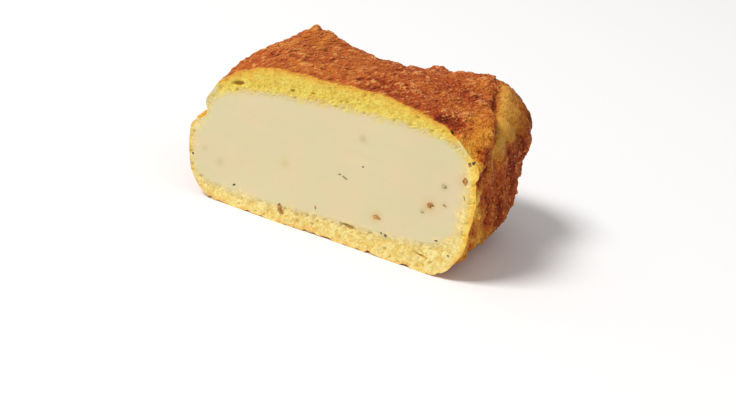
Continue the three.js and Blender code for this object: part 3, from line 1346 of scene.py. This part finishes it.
@dataclass(frozen=True)
class Browning:
    """How browned the skin's parts are: 0 is yellow, 1 red-brown, and more is scorched. Part of it is
    painted shade, over the lobe's back and in the end furrows.
    """

    by_cut: float = 0.18
    by_cut_under: float = 0.08  # under the right end's fold
    side: float = 0.52
    sheet_left: float = 0.6
    sheet_right: float = 0.76
    cloudy: float = 0.14
    cloud_size: float = 11.0
    # the smooth lobe goes from pale to dark over its back: partly browning, partly painted shade where it
    # turns away from the light
    lobe_pale: float = 0.42
    lobe_dark_shaded: float = 0.95
    fold: float = 0.5  # more along the right end's fold
    fold_width: float = 0.9
    furrow: float = 0.24  # more in the furrows, and less on the ridges: partly browning, partly painted shade
    furrow_typical: float = 0.6  # share of it that shows, on average
    furrow_uneven: float = 0.6
    furrow_patch: float = 6.0
    end_behind: float = 0.3  # more far behind the cut
    end_least: float = 0.4
    sheet_edge: Fade = Fade(-2, 3)  # distances from the end of the top sheet
    sheet_across: Fade = Fade(-30, 20)  # along X
    ends_meet: Fade = Fade(-20, 20)
    lobe_turn: Fade = Fade(28, 45)  # distances over the lobe's back
    lobe_height: float = 38.0
    lobe_lean: float = 1.2
    fold_right: Fade = Fade(22, 32)
    end_facing: Fade = Fade(0.4, 0.8)
    furrow_under: Fade = Fade(3, 8)  # distances below the fold
    behind_under: Fade = Fade(0, 4)
    behind: Fade = Fade(18, 34)  # distances behind the cut
    under_right: Fade = Fade(30, 37)  # along X
    under_fold: Fade = Fade(0, 2)
    pale_left: float = 2.4  # how far behind the cut the skin is paler, on top at the left
    pale_right: float = 4.0
    pale_across: Fade = Fade(24, 32)
    pale_end: float = 5.0  # and at the right end, where it is widest at a height
    pale_end_most: float = 8.5
    pale_height: float = 27.0
    pale_spread: float = 4.0
    pale_seam: float = 7.0  # and along the left end's seam
    seam_left: Fade = Fade(28, 36)
    seam_spread: float = 3.0
    pale_from: float = -0.3
    pale_ragged: float = 0.4
    pale_patch: float = 3.0


@dataclass(frozen=True)
class FineRelief:
    """Heights and sizes of the fried fibres and grains, from the left of the top to the right."""

    bend: float = 0.8  # how far the fibres stray
    bend_size: float = 5.0
    fibre_size: tuple[float, float, float] = (4.2, 1.25, 1.6)
    fibre: tuple[float, float] = (0.6, 0.35)
    fibre_end: float = 0.85  # on the ends
    small_size: float = 1.5
    small: tuple[float, float] = (0.25, 0.5)
    large_size: float = 2.7
    large: tuple[float, float] = (0.45, 0.7)
    large_end: float = 0.4
    large_chosen: Fade = Fade(0.55, 0.9)  # of the grains' own numbers
    least: float = 0.4  # height of the lowest grains, as a share of the highest
    middle: float = 0.4  # what counts as no height
    by_cut: tuple[float, float] = (0.4, 0.15)  # share of it at the cut, on top and on the ends
    by_cut_width: Fade = Fade(0, 3)
    calmed: float = 0.35  # share of it on the smooth lobe
    typical: float = 0.3
    crumbly: Fade = Fade(-12, 22)  # along X
    end_facing: Fade = Fade(0.35, 0.75)


@dataclass
class Crust(CutPiece):
    """The fried dough: a browned skin outside, and porous crumb at the cut."""

    browning: Browning = Browning()
    fine: FineRelief = FineRelief()
    cell: float = 0.4
    finer: int = 4
    spare: float = 1.6  # for the raised corners
    inner_cell: float = 1.6
    cut_cell: float = 0.32
    overlap: float = 0.15  # how far the crumb reaches into the mash, so that no gap shows
    lobe_under: Fade = Fade(0, 3)  # distances below the fold where the smooth lobe starts
    lobe_right: Fade = Fade(24, 34)
    lobe_up: Fade = Fade(28, 35)
    pores: tuple[Pore, ...] = (
        Pore(-29.3, 34.2, 3.4, 1.5, 1.4, -0.3), Pore(-14.3, 36.7, 1.8, 1.1, 0.9, -0.3),
        Pore(-8.6, 37.6, 1.4, 0.9, 0.8, -0.2), Pore(7.0, 5.6, 4.8, 1.6, 1.3, 0.1),
        Pore(27.4, 4.4, 3.8, 1.0, 1.1, 0.2), Pore(-11.8, 3.0, 1.5, 1.8, 0.9, 0.4),
        Pore(-2.8, 2.7, 2.0, 1.0, 0.8, 0.5), Pore(19.6, 40.0, 1.5, 0.9, 0.7, 0.1))
    pore_spacing: float = 1.5
    pore_sizes: tuple[float, float] = (0.1, 0.42)  # radius, as a share of their spacing
    pore_depth: float = 0.9  # as a share of their radius
    crumb_size: float = 1.2
    crumb_least: float = 0.3  # height of the lowest lumps, as a share of the highest
    crumb_depth: float = 0.18
    dip_depth: float = 0.15
    dip_size: float = 2.3
    dips: Fade = Fade(0.1, 0.7)
    crumb_in: Fade = Fade(0, 2.4)  # distances from the mash over which the crumb opens
    crumb_out: Fade = Fade(-0.4, 1.4)  # and from the rim
    pores_in: Fade = Fade(0, 0.8)
    pores_out: Fade = Fade(-0.2, 0.5)
    mash_middle: float = 21.0  # height of the hollow's middle at the cut
    mash_half: float = 17.6  # half its height, with a margin
    mash_margin: float = 0.8
    top_fibre: Vector = Vector((0.31, 0.95, 0)).normalized()
    end_fibre: Vector = Vector((0, 0.56, -0.83)).normalized()
    pits: tuple[Pit, ...] = (Pit(Vector((28.9, 0.8, 38.6)), 2.2, 0.9, 1.2),
                             Pit(Vector((38.6, 0.5, 28.4)), 1.0, 1.0, 0.9))
    patches: tuple[Patch, ...] = (
        Patch(Vector((26.0, 1.6, 40)), 2.4, 0.55), Patch(Vector((26.3, 20.3, 42)), 2.8, 0.25),
        Patch(Vector((21.3, 22.7, 42)), 2.8, 0.2), Patch(Vector((-13.7, 14.4, 41)), 2.6, 0.2),
        Patch(Vector((28.4, 30.6, 44)), 3.6, -0.3), Patch(Vector((34.1, 19.1, 43)), 3.0, -0.25),
        Patch(Vector((36.0, 6.0, 36)), 4.0, -0.2), Patch(Vector((36.8, 2.6, 33.4)), 1.6, 0.4),
        Patch(Vector((29.5, 5.0, 40.3)), 3.0, 0.3), Patch(Vector((32.0, 18.0, 42)), 8.0, -0.26),
        Patch(Vector((39.1, 12.1, 22.6)), 2.4, 0.3), Patch(Vector((39.8, 24.0, 26.5)), 4.0, 0.3),
        Patch(Vector((39.7, 22.2, 12.8)), 3.0, 0.3), Patch(Vector((39.7, 15.1, 13.1)), 2.6, 0.3),
        Patch(Vector((33.5, 5.0, 37)), 5.0, -0.22), Patch(Vector((-40.0, 3.5, 21.3)), 3.5, -0.5),
        Patch(Vector((38.9, 7.1, 10.0)), 4.0, -0.25), Patch(Vector((38.8, 15.5, 7.0)), 3.5, -0.3))
    lower_bite: float = 1.0  # depth of the largest bites out of the cut's lower edge
    small_bites: float = 1.4
    large_bites: float = 4.5
    large_share: float = 0.7
    bites_behind: Fade = Fade(0.4, 3.0)
    bites_up: Fade = Fade(0.0, 3.0)

    def build(self) -> bpy.types.Object:
        """Makes the crust.

        Returns:
            The crust, cut and hollow, with its relief.
        """
        piece = self._skin()
        carve(piece, self.body("hollow", self.form.mash.grown(-self.overlap), self.inner_cell))
        carve(piece, Knife(self.form, self.cut_cell).build())
        self._open_crumb(piece)
        join_flat(piece, 0.0)
        self.place_in_frame(piece)
        return piece

    def _skin(self) -> bpy.types.Object:
        """Makes the whole outside.

        Returns:
            A closed cushion with its relief.
        """
        piece = self.body("fried_crust", self.form.skin, self.cell, self.finer, self.spare)
        p, facing = places(piece), facings(piece)
        fine = self._fine_relief(p, facing)
        sunk = sum(pit.deep * pit.share(p) for pit in self.pits)
        p += facing * (self.form.relief(p, facing) + fine - sunk)[:, None]
        self.form.draw_knobs(p, facing)
        self.form.settle(p)
        self._bite_edge(p)
        put(piece, p)
        note(piece, Noted.HEIGHT.value, fine / self.fine.typical)
        note(piece, Noted.END.value, self.fine.end_facing.at(np.abs(facing[:, 0])))
        note(piece, Noted.CALM.value, self._on_lobe(p, facing))
        return piece

    def _on_lobe(self, p: np.ndarray, facing: np.ndarray) -> np.ndarray:
        """1 on the smooth lobe that wraps round the right back corner, 0 away from it."""
        under_sheet = self.lobe_under.at(-self.form.on_sheet(p, facing))
        return under_sheet * self.lobe_right.at(p[:, 0]) * self.lobe_up.at(p[:, 2])

    def _fine_relief(self, p: np.ndarray, facing: np.ndarray) -> np.ndarray:
        """Height of the fried fibres and grains over the larger relief.

        Args:
            p: points of the outside.
            facing: the plain surface's normal at each of them.

        Returns:
            One height for each point, from the middle of the relief.
        """
        fine = self.fine
        stray = [lumps(p, fine.bend_size, layer) for layer in (51, 52, 53)]
        bent = p + fine.bend * np.stack(stray, axis=1)
        on_end = fine.end_facing.at(np.abs(facing[:, 0]))
        crumbly = fine.crumbly.at(p[:, 0])
        along_top = self._fibres(in_axes(bent, self.top_fibre, Vector((0, 0, 1))))
        down_end = self._fibres(in_axes(bent, self.end_fibre, Vector((1, 0, 0))))
        fibres = lerp(along_top, down_end, on_end)
        height = lerp(lerp(*fine.fibre, crumbly), fine.fibre_end, on_end) * (fibres - fine.middle)
        small, own = grains(bent, fine.small_size, 7)
        height += lerp(*fine.small, crumbly) * (small * lerp(fine.least, 1, own) - fine.middle)
        large, own = grains(p, fine.large_size, 8)
        chosen = fine.large_chosen.at(own) * lerp(1, fine.large_end, on_end)
        height += lerp(*fine.large, crumbly) * large * chosen
        by_cut = lerp(lerp(*fine.by_cut, on_end), 1, fine.by_cut_width.at(p[:, 1]))
        return height * by_cut * lerp(1, fine.calmed, self._on_lobe(p, facing))

    def _fibres(self, p: np.ndarray) -> np.ndarray:
        """Height from 0 to 1 of fibres that run along the first axis."""
        fibre, own = grains(p, np.array(self.fine.fibre_size), 6)
        return fibre * lerp(self.fine.least, 1, own)

    def _bite_edge(self, p: np.ndarray) -> None:
        """Breaks small bites out of the lower edge at the cut.

        Args:
            p: points of the outside, which are moved.
        """
        along = p * (1, 0, 0)
        bite = np.maximum(lumps(along, self.small_bites, 41), 0)
        bite += self.large_share * np.maximum(lumps(along, self.large_bites, 42), 0)
        near = (1 - self.bites_behind.at(p[:, 1])) * (1 - self.bites_up.at(p[:, 2]))
        p[:, 2] += self.lower_bite * bite * near

    def _open_crumb(self, piece: bpy.types.Object) -> None:
        """Opens the pores of the crumb at the cut, and notes what the finishes need.

        Args:
            piece: the crust, cut and hollow.
        """
        faces = self.cut_faces(piece)
        ring = self.members(piece, faces)
        other = self.members(piece, ~faces)
        p = places(piece)
        edge = p[ring & other]
        by_mash = self._by_mash(edge)
        on_ring = p[ring]
        rim = distance_to(on_ring, edge[~by_mash])
        core = distance_to(on_ring, edge[by_mash]) - self.overlap
        lump, own = grains(on_ring * (1, 0, 1), self.crumb_size, 12)
        lump *= lerp(self.crumb_least, 1, own)
        depth = self._crumb_depth(on_ring, rim, core, lump)
        pits = sum(pit.share(p) for pit in self.pits)
        browning = self._browning(p, facings(piece))
        p[ring, 1] += depth
        put(piece, p)
        pits[ring] = depth
        for kind, values in ((Noted.RIM, rim), (Noted.CORE, core), (Noted.CRUMB, lump)):
            spread = np.zeros(len(p))
            spread[ring] = values
            note(piece, kind.value, spread)
        note(piece, Noted.PORE.value, pits)
        note(piece, Noted.BROWNING.value, browning)
        piece.data.polygons.foreach_set("material_index", faces.astype(np.int32))

    def _by_mash(self, p: np.ndarray) -> np.ndarray:
        """Tells the cut's inner outline from its outer one.

        Args:
            p: points of both outlines.

        Returns:
            For each point, whether it lies round the mash.
        """
        lobe = self.form.mash
        half = (lobe.left + lobe.right) / 2
        across = (p[:, 0] - (lobe.right - lobe.left) / 2) / (half + self.mash_margin)
        up = (p[:, 2] - self.mash_middle - lobe.floor_slope * p[:, 0]) / self.mash_half
        return np.abs(across) ** 4 + np.abs(up) ** 4 < 1

    def _crumb_depth(self, p: np.ndarray, rim: np.ndarray, core: np.ndarray, lump: np.ndarray
                     ) -> np.ndarray:
        """How deep the crumb's surface lies behind the knife's face.

        Args:
            p: points of the cut's ring.
            rim: their distance from the outer outline.
            core: their distance from the filling's outline.
            lump: the height of the crumb's lumps there, 0 to 1.

        Returns:
            One depth for each point.
        """
        flat = p * (1, 0, 1)
        dips = self.dips.at(lumps(flat, self.dip_size, 13))
        depth = self.crumb_depth * (1 - lump) + self.dip_depth * dips
        depth *= self.crumb_in.at(core) * self.crumb_out.at(rim)
        open_pores = self._small_pores(flat)
        for pore in self.pores:
            open_pores = np.maximum(open_pores, pore.depth(p))
        return np.maximum(depth, open_pores * self.pores_in.at(core) * self.pores_out.at(rim))

    def _small_pores(self, flat: np.ndarray) -> np.ndarray:
        """Depth of the many small pores, one in each square of a lattice, of uneven size.

        Args:
            flat: points of the cut, without their depth.

        Returns:
            One depth for each point.
        """
        spacing = self.pore_spacing
        depth = np.zeros(len(flat))
        square = np.floor(flat / spacing).astype(np.int64)
        for step in itertools.product((-1, 0, 1), repeat=2):
            cell = square + (step[0], 0, step[1])
            shift_x, shift_z, luck = (hashed(cell + (0, shift, 0)) for shift in (5, 9, 13))
            size = spacing * lerp(*self.pore_sizes, luck**2)
            away = np.hypot(flat[:, 0] - (cell[:, 0] + shift_x) * spacing,
                            flat[:, 2] - (cell[:, 2] + shift_z) * spacing)
            pore = self.pore_depth * size * np.sqrt(np.clip(1 - (away / size) ** 2, 0, 1))
            depth = np.maximum(depth, pore)
        return depth

    def _browning(self, p: np.ndarray, facing: np.ndarray) -> np.ndarray:
        """How browned the skin is, with painted shade over the lobe's back and in the end furrows.

        Args:
            p: points of the crust.
            facing: the normal at each of them.

        Returns:
            One number for each point, as in Browning.
        """
        brown = self.browning
        x, y, z = p.T
        over_left, over_right = self.form.over_seam(p), self.form.over_fold(p, facing)
        over = np.where(x < 0, over_left, over_right)
        on_lobe = self._on_lobe(p, facing)
        sheet = lerp(brown.sheet_edge.at(over_left), brown.sheet_edge.at(over_right), brown.ends_meet.at(x))
        on_top = lerp(brown.sheet_left, brown.sheet_right, brown.sheet_across.at(x))
        level = lerp(brown.side, on_top, sheet) + brown.cloudy * lumps(p, brown.cloud_size, 21)
        # darker over the lobe's back: partly browning, partly painted shade
        turned = brown.lobe_turn.at(y + brown.lobe_lean * (brown.lobe_height - z))
        level = lerp(level, lerp(brown.lobe_pale, brown.lobe_dark_shaded, turned), on_lobe)
        folded = brown.fold_right.at(x) * self.form.fold_up.at(z)
        level += brown.fold * folded * bell(over, brown.fold_width)
        on_end = brown.end_facing.at(np.abs(facing[:, 0])) * (1 - on_lobe)
        # darker in the end furrows and lighter on the ridges: partly browning, partly painted shade
        uneven = brown.furrow_typical + brown.furrow_uneven * lumps(p, brown.furrow_patch, 23)
        furrowed = brown.furrow_under.at(-over) * uneven * self.form.furrow(p)
        level += on_end * brown.furrow * furrowed
        level += on_end * brown.behind_under.at(-over) * brown.end_behind * brown.behind.at(y)
        level = lerp(level, np.maximum(level, brown.end_least), on_end)
        for patch in self.patches:
            away = np.linalg.norm(p - np.array(patch.place), axis=1)
            level += patch.browning * bell(away, patch.spread)
        return self._paler_by_cut(p, over, level)

    def _paler_by_cut(self, p: np.ndarray, over: np.ndarray, level: np.ndarray) -> np.ndarray:
        """Lets the yellow crumb show through the skin along the cut.

        Args:
            p: points of the crust.
            over: their distance from the end of the top sheet.
            level: how browned the skin is without it.

        Returns:
            How browned it is with it.
        """
        brown = self.browning
        x, y, z = p.T
        under = brown.under_right.at(x) * brown.under_fold.at(-over)
        on_top = lerp(brown.pale_left, brown.pale_right, brown.pale_across.at(x))
        on_end = lerp(brown.pale_end, brown.pale_end_most, bell(z - brown.pale_height, brown.pale_spread))
        pale = lerp(on_top, on_end, under)
        pale = lerp(pale, brown.pale_seam, brown.seam_left.at(-x) * bell(over, brown.seam_spread))
        ragged = y + brown.pale_ragged * pale * lumps(p, brown.pale_patch, 22)
        behind = smooth(ragged, brown.pale_from, pale)
        return lerp(lerp(brown.by_cut, brown.by_cut_under, under), level, behind)

    def dress(self, piece: bpy.types.Object) -> None:
        """Gives the crust its finishes and its place in the frame's table.

        Args:
            piece: the crust.
        """
        piece.data.materials.append(FriedSkin().material())
        piece.data.materials.append(CutFace().material())
        soften(piece)
        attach(piece, BODY)
        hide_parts("crust")


@dataclass(frozen=True)
class Stain:
    """A soft spot in the mash where a bit lies on or under its surface."""

    x: float
    z: float
    spread: float
    strength: float


@dataclass
class Filling(CutPiece):
    """The potato mash, smooth where the knife drew through it."""

    cell: float = 1.1
    cut_cell: float = 0.6
    drag: float = 0.05  # height of the marks
    drag_size: tuple[float, float, float] = (9, 1, 1.6)
    wave_size: float = 4.0
    drag_in: Fade = Fade(0, 3.0)  # distances from the mash's edge over which they begin
    proud: float = 0.04  # how far the mash stands out of the cut
    far: float = 20.0  # noted as the distance from an edge that isn't near
    onion_stains: tuple[Stain, ...] = (
        Stain(14.1, 10.7, 1.1, 0.6), Stain(27.2, 18.3, 1.2, 0.6), Stain(34.8, 27.8, 1.3, 0.5),
        Stain(-13.0, 17.0, 0.8, 0.4), Stain(30.9, 19.7, 0.6, 0.4))
    grey_stains: tuple[Stain, ...] = (
        Stain(6.7, 30.2, 0.7, 0.5), Stain(-31.2, 11.3, 0.8, 0.3), Stain(-36.1, 13.8, 0.6, 0.25),
        Stain(29.9, 24.6, 0.6, 0.5), Stain(25.8, 16.4, 0.5, 0.4))

    def build(self) -> bpy.types.Object:
        """Makes the mash.

        Returns:
            The mash, cut by the knife.
        """
        piece = self.body("potato_filling", self.form.mash, self.cell)
        carve(piece, Knife(self.form, self.cut_cell).build())
        self._smear(piece)
        self.place_in_frame(piece)
        return piece

    def _smear(self, piece: bpy.types.Object) -> None:
        """Gives the cut its faint drag marks, and notes what the finish needs.

        Args:
            piece: the mash.
        """
        faces = self.cut_faces(piece)
        face = self.members(piece, faces)
        edge = face & self.members(piece, ~faces)
        p = places(piece)
        on_face = p[face]
        core = -distance_to(on_face, p[edge])
        flat = on_face * (1, 0, 1)
        drag = self.drag * lumps(flat, np.array(self.drag_size), 31)
        drag += self.drag * lumps(flat, self.wave_size, 32)
        p[face, 1] += drag * self.drag_in.at(-core) - self.proud
        put(piece, p)
        spread = np.full(len(p), -self.far)
        spread[face] = core
        note(piece, Noted.CORE.value, spread)
        note(piece, Noted.RIM.value, np.full(len(p), self.far))
        note(piece, Noted.PORE.value, np.zeros(len(p)))
        for name, stains in ((Noted.STAIN, self.onion_stains), (Noted.SHADOW, self.grey_stains)):
            total = sum(s.strength * bell(np.hypot(p[:, 0] - s.x, p[:, 2] - s.z), s.spread)
                        for s in stains)
            note(piece, name.value, np.minimum(total, 1))

    def dress(self, piece: bpy.types.Object) -> None:
        """Gives the mash its finish and its place in the frame's table.

        Args:
            piece: the mash.
        """
        piece.data.materials.append(bpy.data.materials["cut_face"])
        soften(piece)
        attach(piece, BODY)
        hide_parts("filling")


@dataclass
class Crumbs:
    """Small fried crumbs that stick to the skin, most of them at the right of the top."""

    form: KnishForm
    count: int = 340
    smallest: float = 0.4
    largest: float = 1.1
    seed: int = 11
    middle: tuple[float, float, float] = (0, -2, 20)  # of the filling, which they lie outside
    anywhere: float = 0.1  # how likely one is
    upper: float = 0.25  # and how much likelier in the upper part
    upper_from: Fade = Fade(20, 35)  # heights
    right_upper_from: Fade = Fade(20, 36)
    right: Fade = Fade(-5, 25)  # along X
    on_ends: float = 0.1
    end_facing: Fade = Fade(0.3, 0.6)
    behind_cut: float = 1.5
    above_floor: float = 3.0
    ragged: float = 0.35
    ragged_size: float = 0.8
    narrowest: float = 0.7  # its sides and height, as shares of its size
    uneven: float = 0.6
    tall: float = 0.6
    lift: float = 0.04  # how far its middle lies over the skin
    finish: Speckled = Speckled("fried_crumbs", (172, 88, 38), (212, 134, 72), 2.2)

    def build(self, crust: bpy.types.Object) -> bpy.types.Object:
        """Makes all crumbs as one piece.

        Args:
            crust: the finished crust, in whose skin they are half sunk.

        Returns:
            The crumbs.
        """
        bpy.ops.object.select_all(action="DESELECT")
        bpy.ops.mesh.primitive_ico_sphere_add(subdivisions=2, radius=1)
        piece = bpy.context.active_object
        piece.name = self.finish.name
        ball = places(piece)
        faces = np.array([list(face.vertices) for face in piece.data.polygons])
        made = [self._crumb(ball, spot, out, number)
                for number, (spot, out) in enumerate(zip(*self._spots(crust)))]
        faces = np.concatenate([faces + number * len(ball) for number in range(len(made))])
        piece.data.clear_geometry()
        piece.data.from_pydata(np.concatenate(made).tolist(), [], faces.tolist())
        return piece

    def _spots(self, crust: bpy.types.Object) -> tuple[np.ndarray, np.ndarray]:
        """Chooses where crumbs stick.

        Args:
            crust: the finished crust.

        Returns:
            Their places, and the way out of the skin at each of them.
        """
        p, out = places(crust) / MM, facings(crust)
        x, y, z = (p + (self.form.middle_x, self.form.middle_y, 0)).T
        likely = self.anywhere + self.upper * self.upper_from.at(z)
        likely += self.right.at(x) * self.right_upper_from.at(z)
        outside = np.sum((p - self.middle) * out, axis=1) > 0
        likely *= (y > self.behind_cut) & (z > self.above_floor) & outside
        on_end = self.end_facing.at(np.abs(out[:, 0]))
        likely *= lerp(1, self.on_ends, on_end) * (1 - noted(crust, Noted.CALM.value))
        chosen = np.random.default_rng(self.seed).choice(len(p), self.count, False, likely / likely.sum())
        return p[chosen], out[chosen]

    def _crumb(self, ball: np.ndarray, spot: np.ndarray, out: np.ndarray, number: int) -> np.ndarray:
        """Makes the vertices of one ragged crumb.

        Args:
            ball: the vertices of a plain ball.
            spot: where on the skin the crumb sticks.
            out: the way out of the skin there.
            number: the crumb's own number.

        Returns:
            Its vertices, in the frame.
        """
        luck = np.random.default_rng(self.seed + number).random(4)
        size = lerp(self.smallest, self.largest, luck[0] ** 2)
        shape = ball * (1 + self.ragged * lumps(ball, self.ragged_size, number)[:, None])
        shape *= (self.narrowest + self.uneven * luck[1], self.narrowest + self.uneven * luck[2], self.tall)
        turn = np.array(Matrix.Rotation(2 * math.pi * luck[3], 3, "Z"))
        return (shape @ turn.T * size / 2 + spot + out * self.lift * size) * MM

    def dress(self, piece: bpy.types.Object) -> None:
        """Gives the crumbs their finish and makes them ride with the half.

        Args:
            piece: the crumbs.
        """
        piece.data.materials.append(self.finish.material())
        soften(piece)
        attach(piece, BODY)


class BitKind(Enum):
    """What a small bit in the cut is."""

    ONION = "fried_onion_bits"
    PEPPER = "pepper_specks"
    HERB = "herb_shreds"


@dataclass(frozen=True)
class Bit:
    """A small bit at the cut: its place, size and turn."""

    kind: BitKind
    x: float
    z: float
    long: float
    wide: float
    turn: float


@dataclass
class Bits:
    """The small bits that lie in the cut: fried onion, pepper and herb."""

    form: KnishForm
    rise: float = 0.2
    ragged: float = 0.4
    ragged_size: float = 0.8
    frayed: float = 0.3
    frayed_size: float = 0.35
    sunk: float = 0.04  # how far a bit's middle lies behind the cut
    bits: tuple[Bit, ...] = (
        Bit(BitKind.ONION, 14.1, 10.7, 2.3, 1.3, 0.1), Bit(BitKind.ONION, 27.4, 18.5, 2.1, 1.6, -0.5),
        Bit(BitKind.HERB, 25.6, 16.3, 1.2, 0.8, 0.6), Bit(BitKind.ONION, 34.8, 27.7, 2.3, 1.3, 1.3),
        Bit(BitKind.HERB, 29.9, 24.6, 1.3, 0.9, 0.3), Bit(BitKind.HERB, 30.9, 19.7, 1.2, 0.6, 0.4),
        Bit(BitKind.ONION, -12.3, 4.3, 2.6, 1.2, 1.2), Bit(BitKind.ONION, -2.7, 7.8, 1.4, 0.6, 1.4),
        Bit(BitKind.PEPPER, -26.2, 6.4, 1.4, 0.6, -0.75), Bit(BitKind.PEPPER, 8.1, 22.9, 0.6, 0.45, 0.2),
        Bit(BitKind.PEPPER, 17.4, 6.7, 0.7, 0.5, 0.4), Bit(BitKind.PEPPER, 16.2, 6.9, 0.6, 0.4, 1.2),
        Bit(BitKind.PEPPER, 30.8, 9.8, 0.9, 0.45, -0.2), Bit(BitKind.PEPPER, 34.7, 6.9, 0.5, 0.4, 0.0),
        Bit(BitKind.HERB, 35.5, 23.4, 1.3, 0.35, 1.2), Bit(BitKind.PEPPER, -39.3, 11.3, 0.6, 0.4, 0.5),
        Bit(BitKind.PEPPER, 35.9, 32.9, 0.9, 0.8, 0.6), Bit(BitKind.ONION, 35.1, 32.3, 1.2, 0.8, 0.9),
        Bit(BitKind.HERB, 3.9, 18.4, 2.1, 0.5, 0.3), Bit(BitKind.HERB, 2.2, 18.9, 1.0, 0.4, -0.2))
    finishes: tuple[Speckled, ...] = (
        Speckled(BitKind.ONION.value, (122, 78, 30), (208, 148, 78)),
        Speckled(BitKind.PEPPER.value, (38, 34, 22), (92, 80, 42), 0.3),
        Speckled(BitKind.HERB.value, (138, 116, 66), (194, 174, 116), 0.4))

    def build(self, kind: BitKind) -> bpy.types.Object:
        """Makes all bits of one kind as one piece.

        Args:
            kind: their kind.

        Returns:
            The piece.
        """
        made = [self._bit(bit, number) for number, bit in enumerate(self.bits) if bit.kind is kind]
        activate(made[0])
        for piece in made:
            piece.select_set(True)
        bpy.ops.object.join()
        made[0].name = kind.value
        return made[0]

    def _bit(self, bit: Bit, number: int) -> bpy.types.Object:
        """Makes one ragged bit.

        Args:
            bit: its place, size and turn.
            number: its own number.

        Returns:
            The bit, half sunk in the cut.
        """
        bpy.ops.object.select_all(action="DESELECT")
        bpy.ops.mesh.primitive_ico_sphere_add(subdivisions=3, radius=1)
        piece = bpy.context.active_object
        p = places(piece)
        coarse, fine = lumps(p, self.ragged_size, number), lumps(p, self.frayed_size, number)
        p *= 1 + self.ragged * coarse[:, None] + self.frayed * fine[:, None]
        p *= (bit.long / 2, self.rise, bit.wide / 2)
        c, s = math.cos(bit.turn), math.sin(bit.turn)
        p = p @ np.array([[c, 0, -s], [0, 1, 0], [s, 0, c]])
        centre = np.array((bit.x, 0, bit.z))
        level = self.form.cut_level(centre[None])[0]
        shift = np.array((self.form.middle_x, self.form.middle_y, 0))
        put(piece, (p + centre + (0, level + self.sunk, 0) - shift) * MM)
        return piece

    def dress(self, piece: bpy.types.Object, kind: BitKind) -> None:
        """Gives the bits their finish and makes them ride with the half.

        Args:
            piece: the bits of one kind.
            kind: their kind.
        """
        finish = next(finish for finish in self.finishes if finish.name == kind.value)
        piece.data.materials.append(finish.material())
        soften(piece)
        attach(piece, BODY)


# ---- studio --------------------------------------------------------------------------------------

@dataclass(frozen=True)
class SoftLight:
    """A square of soft light that faces a point over the floor."""

    name: str
    place: tuple[float, float, float]
    side: float
    watts: float
    tint: tuple[float, float, float] = (1.0, 1.0, 1.0)

    def build(self, aim: Vector) -> None:
        """Puts the light in place.

        Args:
            aim: the point that it faces.
        """
        lamp = bpy.data.lights.new(self.name, "AREA")
        lamp.size = self.side
        lamp.energy = self.watts
        lamp.color = self.tint
        holder = bpy.data.objects.new(self.name, lamp)
        holder.location = self.place
        holder.rotation_euler = (aim - Vector(self.place)).to_track_quat("-Z", "Y").to_euler()
        bpy.context.scene.collection.objects.link(holder)


@dataclass
class Studio:
    """The floor, the lights and the camera at the photo's viewing angle."""

    azimuth: float = 18.0
    elevation: float = 24.5
    roll: float = 11.0
    camera_place: tuple[float, float, float] = (114.96, -342.54, 164.60)  # mm
    lens: float = 70.43
    clip: tuple[float, float] = (0.01, 20.0)  # m
    floor_side: float = 6.0
    ambient: float = 0.44
    aim: Vector = Vector((0, 0, 0.02))
    lights: tuple[SoftLight, ...] = (SoftLight("key", (-1.05, -1.05, 2.02), 0.7, 52.0),)

    def build(self) -> None:
        """Makes the whole studio."""
        self._floor()
        for light in self.lights:
            light.build(self.aim)
        self._air()
        self._camera()

    def _floor(self) -> None:
        """Lays the pale floor."""
        bpy.ops.object.select_all(action="DESELECT")
        bpy.ops.mesh.primitive_plane_add(size=self.floor_side)
        floor = bpy.context.active_object
        floor.name = "floor"
        floor.data.materials.append(PlainFloor().material())

    def _air(self) -> None:
        """Fills the room with even white light."""
        world = bpy.data.worlds.new("air")
        world.use_nodes = True
        glow = world.node_tree.nodes["Background"]
        glow.inputs["Color"].default_value = (1.0, 1.0, 1.0, 1.0)
        glow.inputs["Strength"].default_value = self.ambient
        bpy.context.scene.world = world
        bpy.context.scene.view_settings.view_transform = "Standard"

    def _camera(self) -> None:
        """Sets up the camera, turned about its own axis as the photo was taken."""
        camera = bpy.data.cameras.new("camera")
        camera.lens = self.lens
        camera.clip_start, camera.clip_end = self.clip
        holder = bpy.data.objects.new("camera", camera)
        turn = (Matrix.Rotation(math.radians(self.azimuth), 4, "Z")
                @ Matrix.Rotation(math.radians(90 - self.elevation), 4, "X")
                @ Matrix.Rotation(math.radians(self.roll), 4, "Z"))
        holder.matrix_world = Matrix.Translation(Vector(self.camera_place) * MM) @ turn
        bpy.context.scene.collection.objects.link(holder)
        bpy.context.scene.camera = holder


def report(piece: bpy.types.Object) -> None:
    """Logs a finished piece."""
    log.info("%s: %d faces", piece.name, len(piece.data.polygons))


def main() -> None:
    """Builds the half and its studio."""
    logging.basicConfig(level=logging.INFO, format="%(name)s: %(message)s")
    form = KnishForm()
    crust = Crust(form)
    skin = crust.build()
    crust.dress(skin)
    report(skin)
    filling = Filling(form)
    piece = filling.build()
    filling.dress(piece)
    report(piece)
    crumbs = Crumbs(form)
    piece = crumbs.build(skin)
    crumbs.dress(piece)
    report(piece)
    bits = Bits(form)
    for kind in BitKind:
        piece = bits.build(kind)
        bits.dress(piece, kind)
        report(piece)
    Studio().build()


if __name__ == "__main__":
    main()
